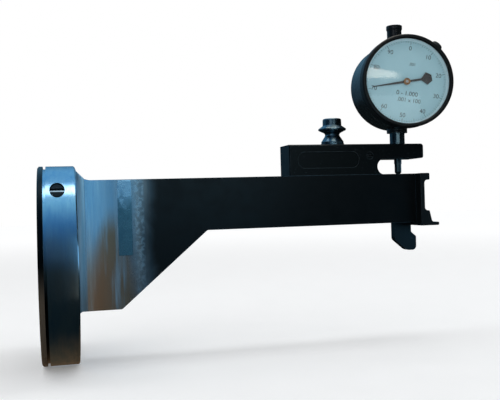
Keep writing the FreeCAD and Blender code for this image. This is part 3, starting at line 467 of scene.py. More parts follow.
# %% Ground lines
def build_ground_lines():
    inputs = [("Place", "Vector", None), ("Lines per mm", "Vector", (0.05, 5.0, 5.0))]
    group, start, end = shader_group("ground lines", inputs, [("Lines", "Float")])
    inputs = {0: start.outputs["Lines per mm"], "Scale": 1 / MM}
    per_metre = node(group, "VectorMath", inputs, operation="SCALE")
    inputs = {0: start.outputs["Place"], 1: per_metre.outputs[0]}
    stretched = node(group, "VectorMath", inputs, operation="MULTIPLY")
    inputs = {"Vector": stretched.outputs[0], "Scale": 1.0, "Detail": 4.0, "Roughness": 0.6}
    lines = node(group, "TexNoise", inputs).outputs["Fac"]
    group.links.new(fit(group, lines, 0.3, 0.7), end.inputs["Lines"])
    return group


ground_lines = build_ground_lines()


# %% [markdown]
# A finish wears first on the outer edges. The Bevel node answers with a rounded normal near an
# edge, so where it leans away from the true normal there is an edge. Noise breaks the line up,
# since wear is never even.


# %% Edge wear
def build_edge_wear():
    inputs = [("Place", "Vector", None), ("Width", "Float", 0.4 * MM), ("Amount", "Float", 0.5)]
    group, start, end = shader_group("edge wear", inputs, [("Mask", "Float")])
    rounded = node(group, "Bevel", {"Radius": start.outputs["Width"]}, samples=4)
    true = node(group, "NewGeometry")
    inputs = {0: rounded.outputs["Normal"], 1: true.outputs["Normal"]}
    match = node(group, "VectorMath", inputs, operation="DOT_PRODUCT").outputs["Value"]
    edge = fit(group, match, 0.995, 0.90)
    inputs = {"Vector": start.outputs["Place"], "Scale": 420.0, "Detail": 5.0}
    patches = node(group, "TexNoise", inputs).outputs["Fac"]
    threshold = maths(group, "SUBTRACT", 1.5, start.outputs["Amount"])
    broken = maths(group, "SUBTRACT", maths(group, "ADD", edge, patches), threshold)
    mask = maths(group, "MULTIPLY", fit(group, broken, 0.0, 0.35), edge)
    group.links.new(mask, end.inputs["Mask"])
    return group


edge_wear = build_edge_wear()


# %% [markdown]
# Handling leaves soft smudges a few millimetres across and fine specks of dust or rust. Both are
# noise at two scales, cut to the part of its range where something shows.


# %% Handling marks
def build_handling():
    inputs = [("Place", "Vector", None), ("Size mm", "Float", 12.0)]
    outputs = [("Smudge", "Float"), ("Specks", "Float")]
    group, start, end = shader_group("handling marks", inputs, outputs)
    scale = maths(group, "DIVIDE", 1 / MM, start.outputs["Size mm"])
    inputs = {"Vector": start.outputs["Place"], "Scale": scale, "Detail": 5.0, "Distortion": 0.6}
    broad = node(group, "TexNoise", inputs).outputs["Fac"]
    inputs = {"Vector": start.outputs["Place"], "Scale": 900.0, "Detail": 2.0}
    fine = node(group, "TexNoise", inputs).outputs["Fac"]
    group.links.new(fit(group, broad, 0.35, 0.68, smooth=True), end.inputs["Smudge"])
    group.links.new(fit(group, fine, 0.66, 0.74), end.inputs["Specks"])
    return group


handling = build_handling()
print("node groups:", [group.name for group in bpy.data.node_groups])

# %% [markdown]
# ## Helpers for materials
# Every finish here reads its place on the object, so that its marks stay put when the piece moves
# or the camera does. It ends in one Principled shader, which is Blender's all-round surface: a
# colour, how dull it is, how metallic, and a normal that a bump map leans a little.

# %% Material helpers


def place_of(tree):
    return node(tree, "TexCoord").outputs["Object"]


def principled(tree, **inputs):
    """The Principled shader, with its sockets named as in base_color or ior."""
    titles = {name: name.replace("_", " ").title().replace("Ior", "IOR") for name in inputs}
    return node(tree, "BsdfPrincipled", {titles[name]: value for name, value in inputs.items()})


def bump(tree, height, strength, distance):
    inputs = {"Height": height, "Strength": strength, "Distance": distance}
    return node(tree, "Bump", inputs).outputs["Normal"]


def product(tree, first, second):
    return maths(tree, "MULTIPLY", first, second)


def weighted(tree, first, share, second):
    """A share of the first value and the rest of the second."""
    return maths(tree, "ADD", product(tree, first, share), product(tree, second, 1 - share))


def dress(material, *names):
    """Gives CAD solids a material in place of the one they came with."""
    for name in names:
        nodes[name].data.materials.clear()
        nodes[name].data.materials.append(material)
    print(material.name, "on", ", ".join(names))


# %% [markdown]
# ## The frame's finish
# Flange, web and arm are one piece of steel. Near the flange it is ground bright; further out it is
# blackened, and the change between them is soft and uneven. Distance along the arm, pushed to and
# fro by noise, gives that. In the blackened part an upright column is worn in small blotches.

# %% Where the frame is black
BLACK_FROM, BLACK_FULL, BLACK_WANDER = 40 * MM, 66 * MM, 4 * MM
WORN_FROM, WORN_TO, WORN_SOFT, WORN_MOST = 52 * MM, 59 * MM, 1.5 * MM, 0.4
WANDER_SIZE, BLOTCH_SIZE = 30.0, 2.4


def blackening(tree, place, x):
    broad = use_group(tree, handling, place=place, size_mm=WANDER_SIZE)["Smudge"]
    wander = product(tree, maths(tree, "SUBTRACT", broad, 0.5), BLACK_WANDER)
    black = fit(tree, maths(tree, "ADD", x, wander), BLACK_FROM, BLACK_FULL, smooth=True)
    left_edge = fit(tree, x, WORN_FROM, WORN_FROM + WORN_SOFT)
    right_edge = fit(tree, x, WORN_TO, WORN_TO - WORN_SOFT)
    blotches = use_group(tree, handling, place=place, size_mm=BLOTCH_SIZE)["Smudge"]
    worn = fit(tree, blotches, 0.2, 0.9, 0.0, WORN_MOST)
    worn = product(tree, product(tree, left_edge, right_edge), worn)
    return product(tree, black, maths(tree, "SUBTRACT", 1.0, worn))


print("frame is black from", BLACK_FROM / MM, "to", BLACK_FULL / MM, "mm along the arm")

# %% [markdown]
# On the web the bright steel gets a painted brown reflection of the bench. It is an upright patch
# that widens downwards, and it is drawn out in streaks: ground lines at two scales, a broad and a
# fine. The same streaks vary the bright steel between paler and bluer.

# %% Where the frame gets a painted reflection of the bench
# These place the painted brown reflection of the bench on the web and set its size.
BENCH_PAINT_MIDDLE, BENCH_PAINT_HIGH, BENCH_PAINT_LOW = 40 * MM, 29 * MM, -22 * MM
BENCH_PAINT_NARROW, BENCH_PAINT_WIDE = 5 * MM, 24 * MM
BENCH_PAINT_TOP, BENCH_PAINT_TOP_FULL = BENCH_PAINT_HIGH + 6 * MM, BENCH_PAINT_HIGH - 14 * MM
PATCH_EDGE, PATCH_FULL = 1.1, 0.3
BROAD_STREAKS, FINE_STREAKS, BROAD_SHARE = (0.17, 0.1, 0.012), (0.7, 0.1, 0.03), 0.75


def streaking(tree, place):
    broad = use_group(tree, ground_lines, place=place, lines_per_mm=BROAD_STREAKS)["Lines"]
    fine = use_group(tree, ground_lines, place=place, lines_per_mm=FINE_STREAKS)["Lines"]
    return weighted(tree, broad, BROAD_SHARE, fine)


# A painted reflection of the brown bench, as a streaky upright patch on the web.
def staining(tree, x, z, streaks):
    off_middle = maths(tree, "ABSOLUTE", maths(tree, "SUBTRACT", x, BENCH_PAINT_MIDDLE))
    width = fit(tree, z, BENCH_PAINT_HIGH, BENCH_PAINT_LOW, BENCH_PAINT_NARROW, BENCH_PAINT_WIDE)
    off_middle = maths(tree, "DIVIDE", off_middle, width)
    patch = fit(tree, off_middle, PATCH_EDGE, PATCH_FULL, smooth=True)
    patch = product(tree, patch, fit(tree, z, BENCH_PAINT_TOP, BENCH_PAINT_TOP_FULL, smooth=True))
    return product(tree, patch, fit(tree, streaks, 0.24, 0.54, 0.25, 1.0))


print("stain is", 2 * BENCH_PAINT_NARROW / MM, "to", 2 * BENCH_PAINT_WIDE / MM, "mm wide")

# %% [markdown]
# The flange was turned on a lathe and the plate was ground flat, so one has rings and the other
# straight upright lines, and which is which follows from the distance along the arm. The flange's
# lip gets painted shade above and a painted brown reflection of the bench low down, and the low
# half of the groove beside it gets the same painted shade.

# %% The frame's regions and tool marks
FLANGE_FACE, FILLET_END, FILLET_SOFT = 20.6 * MM, 25.6 * MM, 1.5 * MM
LIP_END, LIP_SOFT, GROOVE_END, GROOVE_SOFT = 2.8 * MM, 0.2 * MM, 4.4 * MM, 0.1 * MM
LOW_FROM, LOW_FULL = 8 * MM, -16 * MM
RINGS_PER_MM, GRINDING_PER_MM = 5.0, (3.0, 3.0, 0.08)


def regions(tree, x, z):
    """Masks for the flange, its lip, the low half of its groove, the fillet and what is low."""
    on_flange = maths(tree, "LESS_THAN", x, FLANGE_FACE)
    off_flange = maths(tree, "SUBTRACT", 1.0, on_flange)
    low = fit(tree, z, LOW_FROM, LOW_FULL, smooth=True)
    groove = fit(tree, x, GROOVE_END, GROOVE_END - GROOVE_SOFT)
    fillet = fit(tree, x, FILLET_END, FILLET_END - FILLET_SOFT)
    return {
        "flange": on_flange,
        "web": off_flange,
        "lip": fit(tree, x, LIP_END + LIP_SOFT, LIP_END),
        "low groove": product(tree, groove, low),
        "fillet": product(tree, off_flange, fillet),
        "low": low,
    }


def tool_marks(tree, place, parts, on):
    """Rings round the flange's axis and straight lines on the rest, as one height."""
    turned = node(tree, "CombineXYZ", {"X": parts["Y"], "Y": parts["Z"], "Z": parts["X"]})
    inputs = {"place": turned.outputs[0], "lines_per_mm": RINGS_PER_MM}
    rings = use_group(tree, turned_rings, **inputs)["Lines"]
    ground = use_group(tree, ground_lines, place=place, lines_per_mm=GRINDING_PER_MM)["Lines"]
    rings, ground = product(tree, rings, on["flange"]), product(tree, ground, on["web"])
    return maths(tree, "ADD", rings, ground)


print("flange ends at", FLANGE_FACE / MM, "mm, its lip at", LIP_END / MM, "mm")

# %% [markdown]
# All of this meets in one material, because the frame is one solid. Each mask chooses between two
# colours or two kinds of dullness. Worn edges on the black part shine blue, the ground part is
# smoother than the blackened one, and low on the lip the steel is mostly paint, so that the
# painted reflection of the bench there shows.

# %% Frame material
BRIGHT_STEEL, BLUE_STEEL = rgb(186, 206, 218), rgb(130, 176, 206)
# The brown here is a painted reflection of the bench.
BENCH_BROWN_PAINTED, BLACKENED = rgb(150, 128, 108), rgb(15, 23, 27)
# The lip's colours are painted light: a painted shade, and a painted brown reflection of the bench.
LIP_PAINTED_SHADE, LIP_PAINTED_BENCH = rgb(14, 22, 26), rgb(74, 66, 56)
GROUND_ROUGH, BLACK_ROUGH = (0.14, 0.24), (0.34, 0.46)
LIP_ROUGHER, FILLET_ROUGHER = 0.15, 0.2
BLACK_METALLIC, LIP_BENCH_PAINT_SHARE = 0.75, 0.85


def frame_colour(tree, place, black, bench_paint, streaks, on):
    bright = fit(tree, streaks, 0.2, 0.8, 0.1, 0.9)
    bright = mix_colour(tree, bright, BRIGHT_STEEL, BLUE_STEEL)
    # A painted brown reflection of the bench on the bright steel.
    bright = mix_colour(tree, bench_paint, bright, BENCH_BROWN_PAINTED)
    wear = use_group(tree, edge_wear, place=place, width=0.35 * MM, amount=0.45)["Mask"]
    dark = mix_colour(tree, product(tree, wear, 0.3), BLACKENED, BLUE_STEEL)
    colour = mix_colour(tree, black, bright, dark)
    # Painted shade in the groove's low half; on the lip, painted shade above and a painted
    # reflection of the bench below.
    colour = mix_colour(tree, on["low groove"], colour, LIP_PAINTED_SHADE)
    return mix_colour(tree, on["lip"], colour, mix_colour(tree, on["low"], LIP_PAINTED_SHADE, LIP_PAINTED_BENCH))


def frame_roughness(tree, place, black, streaks, lines, on):
    smooth = fit(tree, weighted(tree, lines, 0.5, streaks), 0.2, 0.8, *GROUND_ROUGH)
    smudge = use_group(tree, handling, place=place, size_mm=9.0)["Smudge"]
    dull = fit(tree, smudge, 0.0, 1.0, *BLACK_ROUGH)
    rough = fit(tree, black, 0.0, 1.0, smooth, dull)
    rough = maths(tree, "ADD", rough, product(tree, on["lip"], LIP_ROUGHER))
    return maths(tree, "ADD", rough, product(tree, on["fillet"], FILLET_ROUGHER))


def frame_steel():
    made, tree = new_material("ground and blackened steel")
    place = place_of(tree)
    parts = node(tree, "SeparateXYZ", {"Vector": place}).outputs
    x, z = parts["X"], parts["Z"]
    on = regions(tree, x, z)
    black, streaks = blackening(tree, place, x), streaking(tree, place)
    bench_paint = staining(tree, x, z, streaks)
    lines = tool_marks(tree, place, parts, on)
    metallic = fit(tree, black, 0.0, 1.0, 1.0, BLACK_METALLIC)
    # Low on the lip the metal gives way to paint, so that the painted reflection of the bench
    # shows.
    lip_bench_paint = product(tree, product(tree, on["lip"], on["low"]), LIP_BENCH_PAINT_SHARE)
    shader = principled(
        tree,
        base_color=frame_colour(tree, place, black, bench_paint, streaks, on),
        roughness=frame_roughness(tree, place, black, streaks, lines, on),
        metallic=maths(tree, "SUBTRACT", metallic, lip_bench_paint),
        normal=bump(tree, lines, 0.15, 0.01 * MM),
    )
    finish_with(tree, shader)
    return made


steel_frame = frame_steel()
dress(steel_frame, "gauge_frame")

# %% [markdown]
# ## Finishes for the other solids
# Most of the small steel pieces differ only in colour, dullness and the direction of their tool
# marks, so one function makes them from those values. Its main colour gives way to a worn one on
# edges and in small specks, and smudges and scratches together set how dull it is.

# %% A metal finish
EDGE_WIDTH, SPECK_SHARE, SMUDGE_SHARE = 0.3 * MM, 0.25, 0.6
SCRATCH_STRENGTH, SCRATCH_DEPTH = 0.1, 0.008 * MM
EVEN_LINES, UPRIGHT_LINES, RING_LINES = (3.0, 3.0, 3.0), (5.0, 5.0, 0.1), (0.2, 0.2, 6.0)


def metal(
    name, colour, worn, rough=(0.2, 0.35), marks_mm=8.0, lines=EVEN_LINES, metallic=1.0, wear=0.4
):
    """A metal finish: a main colour, the colour of its worn edges, and a range of dullness."""
    made, tree = new_material(name)
    place = place_of(tree)
    marks = use_group(tree, handling, place=place, size_mm=marks_mm)
    scratches = use_group(tree, ground_lines, place=place, lines_per_mm=lines)["Lines"]
    edges = use_group(tree, edge_wear, place=place, width=EDGE_WIDTH, amount=wear)["Mask"]
    base = mix_colour(tree, edges, colour, worn)
    base = mix_colour(tree, product(tree, marks["Specks"], SPECK_SHARE), base, worn)
    dull = weighted(tree, marks["Smudge"], SMUDGE_SHARE, scratches)
    shader = principled(
        tree,
        base_color=base,
        roughness=fit(tree, dull, 0.0, 1.0, *rough),
        metallic=metallic,
        normal=bump(tree, scratches, SCRATCH_STRENGTH, SCRATCH_DEPTH),
    )
    finish_with(tree, shader)
    return made


print("each metal mixes", 1 - SMUDGE_SHARE, "scratches into its dullness")

# %% [markdown]
# The gauge's own steel is black oxide, a thin brown-black skin that rubs bright on edges. The block
# is darker, the blade and the spindle are hardened grey steel, and knob and stem are polished with
# fine rings. The indicator's movement is brass, its hand and bezel are black enamel, and its case
# is a blue-black enamel with more gloss. Each value below is one such finish.

# %% Metal finishes in use
DARK_EDGE = rgb(84, 98, 106)
black_oxide = metal("black oxide", rgb(20, 28, 31), DARK_EDGE, (0.32, 0.48), metallic=0.6)
block_steel = metal(
    "blackened block", rgb(5, 16, 20), DARK_EDGE, (0.34, 0.5), marks_mm=14.0, metallic=0.7
)
blade_steel = metal(
    "hardened blade steel", rgb(70, 84, 90), rgb(140, 152, 160), (0.3, 0.42), lines=UPRIGHT_LINES
)
knob_steel = metal(
    "turned steel", rgb(88, 110, 122), rgb(170, 186, 196), (0.2, 0.32), lines=RING_LINES
)
polished = metal(
    "polished steel", rgb(92, 108, 116), rgb(170, 182, 190), (0.16, 0.26), lines=RING_LINES
)
satin = metal("satin steel", rgb(130, 142, 150), rgb(190, 198, 204), (0.25, 0.38))
screw_black = metal("blackened screw", rgb(12, 18, 22), rgb(70, 80, 86), (0.3, 0.4))
brass = metal("brass", rgb(196, 152, 84), rgb(226, 190, 120), (0.2, 0.34))
old_brass = metal("old brass", rgb(112, 82, 50), rgb(170, 130, 80), (0.3, 0.45))
black_enamel = metal(
    "black enamel", rgb(6, 13, 16), rgb(40, 50, 54), (0.38, 0.5), metallic=0.3, wear=0.2
)
case_enamel = metal(
    "case enamel", rgb(14, 22, 26), rgb(90, 102, 108), (0.2, 0.32), metallic=0.2, wear=0.3
)

dress(block_steel, "holder_block", "pin_lock_screw")
dress(black_oxide, "end_shoe", "bezel_clamp_plate")
dress(blade_steel, "measuring_blade", "spindle", "contact_point")
dress(knob_steel, "knob_washer")
dress(polished, "indicator_stem", "guide_pin")
dress(satin, "knob_stud", "stop_pin", "holder_dowels", "anvil_button", "movement_screws")
dress(satin, "spindle_spring", "spring_post", "spindle_guide", "centre_arbor", "rack_pinion")
dress(brass, "lower_bushing", "upper_bushing", "gear_wheel", "movement_plate", "centre_cock")
dress(brass, "rear_bridge", "movement_pillars")
dress(old_brass, "pointer_hub")
dress(black_enamel, "pointer")
dress(case_enamel, "indicator_case", "case_cover", "dust_cap")

# %% [markdown]
# ## Dial and glass
# The dial is a thin metal disc under matt pale paint, a little uneven with age, so two close
# colours and a smudge mask are enough. The crystal is clear plastic. Traced as glass it would cast
# a dark shadow on the dial, because light that bends is costly to follow, so for shadows and for
# soft light it is tinted air, and only what the eye sees through it bends.

# %% Dial paint and crystal
DIAL_PALE, DIAL_AGED, DIAL_AGED_SHARE = rgb(166, 208, 218), rgb(152, 194, 206), 0.35
CRYSTAL_COLOUR, CRYSTAL_TINT = (0.97, 0.99, 1.0, 1), (0.94, 0.97, 0.98, 1)


def dial_paint():
    made, tree = new_material("dial paint")
    smudge = use_group(tree, handling, place=place_of(tree), size_mm=14.0)["Smudge"]
    colour = mix_colour(tree, product(tree, smudge, DIAL_AGED_SHARE), DIAL_PALE, DIAL_AGED)
    finish_with(tree, principled(tree, base_color=colour, roughness=0.5))
    return made


def clear_glass():
    made, tree = new_material("clear crystal")
    path = node(tree, "LightPath").outputs
    inputs = {"base_color": CRYSTAL_COLOUR, "transmission_weight": 1.0, "ior": 1.45}
    glass = principled(tree, roughness=0.04, **inputs)
    clear = node(tree, "BsdfTransparent", {"Color": CRYSTAL_TINT})
    through = maths(tree, "MAXIMUM", path["Is Shadow Ray"], path["Is Diffuse Ray"])
    inputs = {0: through, 1: glass.outputs[0], 2: clear.outputs[0]}
    finish_with(tree, node(tree, "MixShader", inputs))
    return made


dress(dial_paint(), "dial_face")
crystal_glass = clear_glass()

# %% [markdown]
# ## Helpers for pieces made in mesh code
# Most pieces of an indicator are lathe work, so they are made as a lathe makes them: a profile
# spun round an axis. A radius in the profile may be a function of the angle, which turns the same
# code into knurls and hexagons. Profiles have rounded corners, because a real edge catches light.


# %% Lathe helpers
ARC_STEPS = 4


def softened(corners):
    """A profile of (radius, height, corner radius) corners, rounded off in short steps."""
    points = [Vector(corner[:2]) for corner in corners]
    outline = []
    for i, corner in enumerate(corners):
        here = points[i]
        if len(corner) < 3:
            outline.append(tuple(here))
            continue
        back = (points[i - 1] - here).normalized()
        ahead = (points[(i + 1) % len(points)] - here).normalized()
        half = back.angle(ahead) / 2
        reach = corner[2] / math.tan(half)
        centre = here + (back + ahead).normalized() * (corner[2] / math.sin(half))
        first = here + back * reach - centre
        last = here + ahead * reach - centre
        for step in range(ARC_STEPS + 1):
            spoke = first.lerp(last, step / ARC_STEPS).normalized()
            outline.append(tuple(centre + spoke * corner[2]))
    return outline


def spun(rings, segments=96, closed=False):
    """Rings of (radius, height) joined by faces. A radius may be a function of the angle."""
    bm = bmesh.new()
    loops = []
    for radius, height in rings:
        loop = []
        for i in range(1 if radius == 0 else segments):
            angle = 2 * math.pi * i / segments
            out = radius(angle) if callable(radius) else radius
            loop.append(bm.verts.new(mm(out * math.cos(angle), out * math.sin(angle), height)))
        loops.append(loop)
    pairs = list(zip(loops, loops[1:]))
    if closed:
        pairs.append((loops[-1], loops[0]))
    for low, high in pairs:
        for i in range(segments):
            j = (i + 1) % segments
            around = [low[i % len(low)], low[j % len(low)]]
            around += [high[j % len(high)], high[i % len(high)]]
            corners = list(dict.fromkeys(around))
            if len(corners) > 2:
                bm.faces.new(corners)
    return bm


def walled(bm, loops):
    """Faces between loops with equally many points, and one over each end."""
    for low, high in zip(loops, loops[1:]):
        for i in range(len(low)):
            bm.faces.new((low[i - 1], low[i], high[i], high[i - 1]))
    bm.faces.new(loops[0])
    bm.faces.new(loops[-1])


def ridged(radius, depth, count):
    """A radius with pointed ridges round it, as a straight knurl has."""
    return lambda angle: radius - depth * abs(2 * (angle * count / (2 * math.pi) % 1) - 1)


def sided(apothem, sides=6):
    """A radius that draws a shape with flat sides, such as a hexagon."""
    side = 2 * math.pi / sides
    return lambda angle: apothem / math.cos(angle % side - side / 2)


# %% [markdown]
# A piece is placed by a matrix: where its middle is and which way its axis points. The joints in
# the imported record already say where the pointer, the clamp screw and the knob turn, so those
# pieces take their places from there.


# %% Placing helpers
joints = {joint["name"]: joint for joint in frame["joints"]}
UPWARD = Vector((0, 0, 1))


def standing_at(middle, out, up=UPWARD):
    """A place whose Z points out, with its Y as near to up as it can be."""
    z = Vector(out).normalized()
    x = up.cross(z).normalized()
    place = Matrix((x, z.cross(x), z)).transposed().to_4x4()
    place.translation = middle
    return place


def piece(name, bm, body, material, place=Matrix(), sharp=32.0):
    """Makes a bmesh into a named object in its place, riding on a body."""
    bmesh.ops.recalc_face_normals(bm, faces=bm.faces)
    mesh = bpy.data.meshes.new(name)
    bm.to_mesh(mesh)
    bm.free()
    mesh.polygons.foreach_set("use_smooth", [True] * len(mesh.polygons))
    mesh.set_sharp_from_angle(angle=math.radians(sharp))
    mesh.materials.append(material)
    made = placed(name, mesh, place)
    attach(made, body)
    print(name, "has", len(mesh.polygons), "faces")
    return made


def gathered(shapes):
    """One bmesh from several (bmesh, place) pairs."""
    whole = bmesh.new()
    for bm, place in shapes:
        bm.transform(place)
        copy = bpy.data.meshes.new("copy")
        bm.to_mesh(copy)
        bm.free()
        whole.from_mesh(copy)
        bpy.data.meshes.remove(copy)
    return whole


pointer_joint = joints["pointer_turn"]
dial_place = standing_at(Vector(pointer_joint["pos_m"]), -Vector(pointer_joint["axis"]))
print("dial's middle in mm:", [round(v / MM, 1) for v in dial_place.translation])

# %% [markdown]
# ## Bezel
# The bezel is gripped with the fingers to bring the dial's zero under the pointer, so its rim has
# a fine straight knurl between two narrow grooves. Real ones are turned and then knurled with a
# wheel; here the rings of the rim get a ridged radius.

# %% Bezel
BEZEL_RADIUS, BEZEL_FRONT, BEZEL_REAR, BEZEL_BORE = 28.575, 27.0, 19.4, 27.055
WINDOW_RADIUS, CRYSTAL_BACK, CRYSTAL_FRONT, DIAL_FRONT = 26.0, 24.7, 25.7, 22.2
CRYSTAL_SEAT, DIAL_LEDGE = 27.2, 26.2
GROOVE_RADIUS = 28.3
KNURL_LOW, KNURL_HIGH, KNURL_DEPTH, KNURL_RIDGES = 20.6, 24.4, 0.24, 132

bezel_profile = softened(
    [
        (WINDOW_RADIUS, CRYSTAL_FRONT),
        (WINDOW_RADIUS, CRYSTAL_FRONT + 0.6, 0.2),
        (WINDOW_RADIUS + 0.7, BEZEL_FRONT, 0.3),
        (BEZEL_RADIUS, BEZEL_FRONT, 1.0),
        (BEZEL_RADIUS, KNURL_HIGH + 0.5, 0.1),
        (GROOVE_RADIUS, KNURL_HIGH + 0.4, 0.05),
        (GROOVE_RADIUS, KNURL_HIGH + 0.2),
        (BEZEL_RADIUS, KNURL_HIGH),
        (BEZEL_RADIUS, KNURL_LOW),
        (GROOVE_RADIUS, KNURL_LOW - 0.2),
        (GROOVE_RADIUS, KNURL_LOW - 0.4, 0.05),
        (BEZEL_RADIUS, KNURL_LOW - 0.5, 0.1),
        (BEZEL_RADIUS, BEZEL_REAR, 0.4),
        (BEZEL_BORE, BEZEL_REAR),
        (BEZEL_BORE, DIAL_FRONT),
        (DIAL_LEDGE, DIAL_FRONT),
        (DIAL_LEDGE, CRYSTAL_BACK),
        (CRYSTAL_SEAT, CRYSTAL_BACK),
        (CRYSTAL_SEAT, CRYSTAL_FRONT),
    ]
)
knurl = ridged(BEZEL_RADIUS, KNURL_DEPTH, KNURL_RIDGES)
bezel_rings = [(knurl if h in (KNURL_LOW, KNURL_HIGH) else r, h) for r, h in bezel_profile]
bezel_shape = spun(bezel_rings, KNURL_RIDGES * 4, closed=True)
bezel = piece("bezel_knurled", bezel_shape, "bezel", black_enamel, dial_place)
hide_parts("bezel_ring")

# %% [markdown]
# ## Dial rim and crystal
# Between dial and crystal sits a thin pale rim, which is the light ring round the dial in the
# photograph. The crystal is pressed from clear plastic and is slightly domed so that it doesn't
# break; a flat disc would mirror the room as one flat patch, and the dome draws it out.

# %% Dial rim and crystal
RIM_PALE, RIM_WORN = rgb(206, 228, 234), rgb(226, 236, 238)
CRYSTAL_RADIUS, CRYSTAL_RISE = 27.1, 0.55
CRYSTAL_INNER, CRYSTAL_OUTER = CRYSTAL_BACK + 0.05, CRYSTAL_FRONT - 0.1

rim_rings = [(26.15, 22.24), (26.15, 24.66), (25.9, 24.66), (25.05, 22.24)]
rim_shape = spun(rim_rings, 192, closed=True)
pale_rim = metal("pale rim", RIM_PALE, RIM_WORN, (0.3, 0.42), metallic=0.2, wear=0.1)
piece("dial_rim", rim_shape, "bezel", pale_rim, dial_place)


def domed(edge_height, steps):
    """Rings of a dome, at the given shares of its radius."""
    return [(CRYSTAL_RADIUS * t, edge_height + CRYSTAL_RISE * (1 - t * t)) for t in steps]


steps = [i / 10 for i in range(11)]
crystal_shape = spun(domed(CRYSTAL_INNER, steps) + domed(CRYSTAL_OUTER, steps[::-1]), 128)
crystal = piece(
    "crystal_domed", crystal_shape, "bezel", crystal_glass, dial_place
)
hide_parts("crystal")

# %% [markdown]
# ## Dial print
# One turn of the pointer is a hundred divisions, so there are a hundred fine marks, longer at
# every fifth and tenth. They are printed: flat, sharp and black. Each is a thin raised bar on the
# dial, which stays crisp at any distance. The bezel had been turned a little clockwise, so the
# dial is too.

# %% Dial marks
DIVISIONS = 100
DIAL_TURN = math.radians(-8.5)
MARK_OUTER = 24.9
MARK_SIZES = ((10, 2.1, 0.24), (5, 1.6, 0.18), (1, 1.1, 0.14))
PRINT_LOW, PRINT_HIGH = DIAL_FRONT + 0.005, DIAL_FRONT + 0.03


def dial_angle(value):
    return math.pi / 2 + DIAL_TURN - 2 * math.pi * value / DIVISIONS


def mark(bm, value):
    """One thin bar from the marks' outer circle inwards, turned to its value."""
    length, width = next(size[1:] for size in MARK_SIZES if value % size[0] == 0)
    turn = Matrix.Rotation(dial_angle(value), 4, "Z")
    inner, half = MARK_OUTER - length, width / 2
    flat = ((inner, -half), (MARK_OUTER, -half), (MARK_OUTER, half), (inner, half))
    heights = (PRINT_LOW, PRINT_HIGH)
    walled(bm, [[bm.verts.new(turn @ mm(x, y, z)) for x, y in flat] for z in heights])


marks = bmesh.new()
for value in range(DIVISIONS):
    mark(marks, value)
print("dial marks have", len(marks.faces), "faces")

# %% [markdown]
# A numeral stands at every tenth mark, and three lines of small print name the range. They come
# from Blender's own typeface. A text is a curve, so it is turned into a mesh, centred on its own
# middle and set upright on the dial.

# %% Dial numerals
NUMERAL_RADIUS, NUMERAL_SIZE = 20.7, 3.7
SMALL_PRINT = (
    (".001", 2.6, 3.9, 10.6),
    ("0 - 1.000", 3.8, 0.2, -7.2),
    (".001 x 100", 3.5, 1.2, -11.4),
)


def printed(text, size, x, y):
    """A word's (bmesh, place), centred on a place on the dial and standing upright on it."""
    curve = bpy.data.curves.new("print", "FONT")
    curve.body, curve.size = text, size * MM
    curve.extrude = (PRINT_HIGH - PRINT_LOW) / 2 * MM
    holder = bpy.data.objects.new("print", curve)
    mesh = bpy.data.meshes.new_from_object(holder)
    bm = bmesh.new()
    bm.from_mesh(mesh)
    bpy.data.objects.remove(holder)
    bpy.data.meshes.remove(mesh)
    across = [v.co.x for v in bm.verts]
    upward = [v.co.y for v in bm.verts]
    centre = Vector(((min(across) + max(across)) / 2, (min(upward) + max(upward)) / 2, 0))
    height = (PRINT_LOW + PRINT_HIGH) / 2
    place = Matrix.Translation(mm(x, y, height)) @ Matrix.Rotation(DIAL_TURN, 4, "Z")
    return bm, place @ Matrix.Translation(-centre)


shapes = [(marks, Matrix())]
for value in range(0, DIVISIONS, 10):
    angle = dial_angle(value)
    x, y = NUMERAL_RADIUS * math.cos(angle), NUMERAL_RADIUS * math.sin(angle)
    shapes.append(printed(str(value), NUMERAL_SIZE, x, y))
for row in SMALL_PRINT:
    shapes.append(printed(*row))
INK, INK_WORN = rgb(26, 32, 36), rgb(60, 68, 72)
dial_ink = metal("dial ink", INK, INK_WORN, (0.4, 0.5), metallic=0.0, wear=0.0)
piece("dial_print", gathered(shapes), "bezel", dial_ink, dial_place)

# %% [markdown]
# ## Clamp knob
# The knob is a turned steel piece with a waist, a thin rim for the fingers and a plain boss on
# top. The rim gets small ridges for grip, and the rest follows the lathe profile, with a bore for
# its stud and a centre-drill mark in the top, as lathe work has.

# %% Clamp knob
knob_joint = joints["clamp_knob_turn"]
knob_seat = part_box("clamp_knob")[0].z
knob_middle = Vector((knob_joint["pos_m"][0], knob_joint["pos_m"][1], knob_seat))
knob_place = standing_at(knob_middle, knob_joint["axis"], up=Vector((0, 1, 0)))
KNOB_RIM, RIM_LOW, RIM_HIGH, RIM_RIDGES = 8.7, 8.35, 9.1, 36
knob_profile = softened(
    [
        (3.225, 0.0),
        (7.0, 0.0, 0.2),
        (7.0, 1.0, 0.4),
        (4.5, 4.8, 2.4),
        (4.5, 6.2, 1.6),
        (8.35, 8.1, 0.2),
        (KNOB_RIM, RIM_LOW),
        (KNOB_RIM, RIM_HIGH),
        (8.35, 9.35, 0.2),
        (5.9, 11.1, 0.5),
        (5.8, 15.5, 0.9),
        (0.9, 15.5, 0.1),
        (0.0, 14.7),
        (0.0, 11.15),
        (3.225, 11.15),
    ]
)
knob_ridge = ridged(KNOB_RIM, 0.35, RIM_RIDGES)
knob_rings = [(knob_ridge if h in (RIM_LOW, RIM_HIGH) else r, h) for r, h in knob_profile]
knob_shape = spun(knob_rings, RIM_RIDGES * 6, closed=True)
knob = piece("knob_turned", knob_shape, "knob", knob_steel, knob_place)
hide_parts("clamp_knob")

# %% [markdown]
# ## Screws
# Socket screws hold the end shoe and clamp the stem. Each has a round head with a small bevel and
# a hexagon socket, which is a ring of the lathe profile with six flat sides. Their threads are
# hidden, so the shanks are plain.


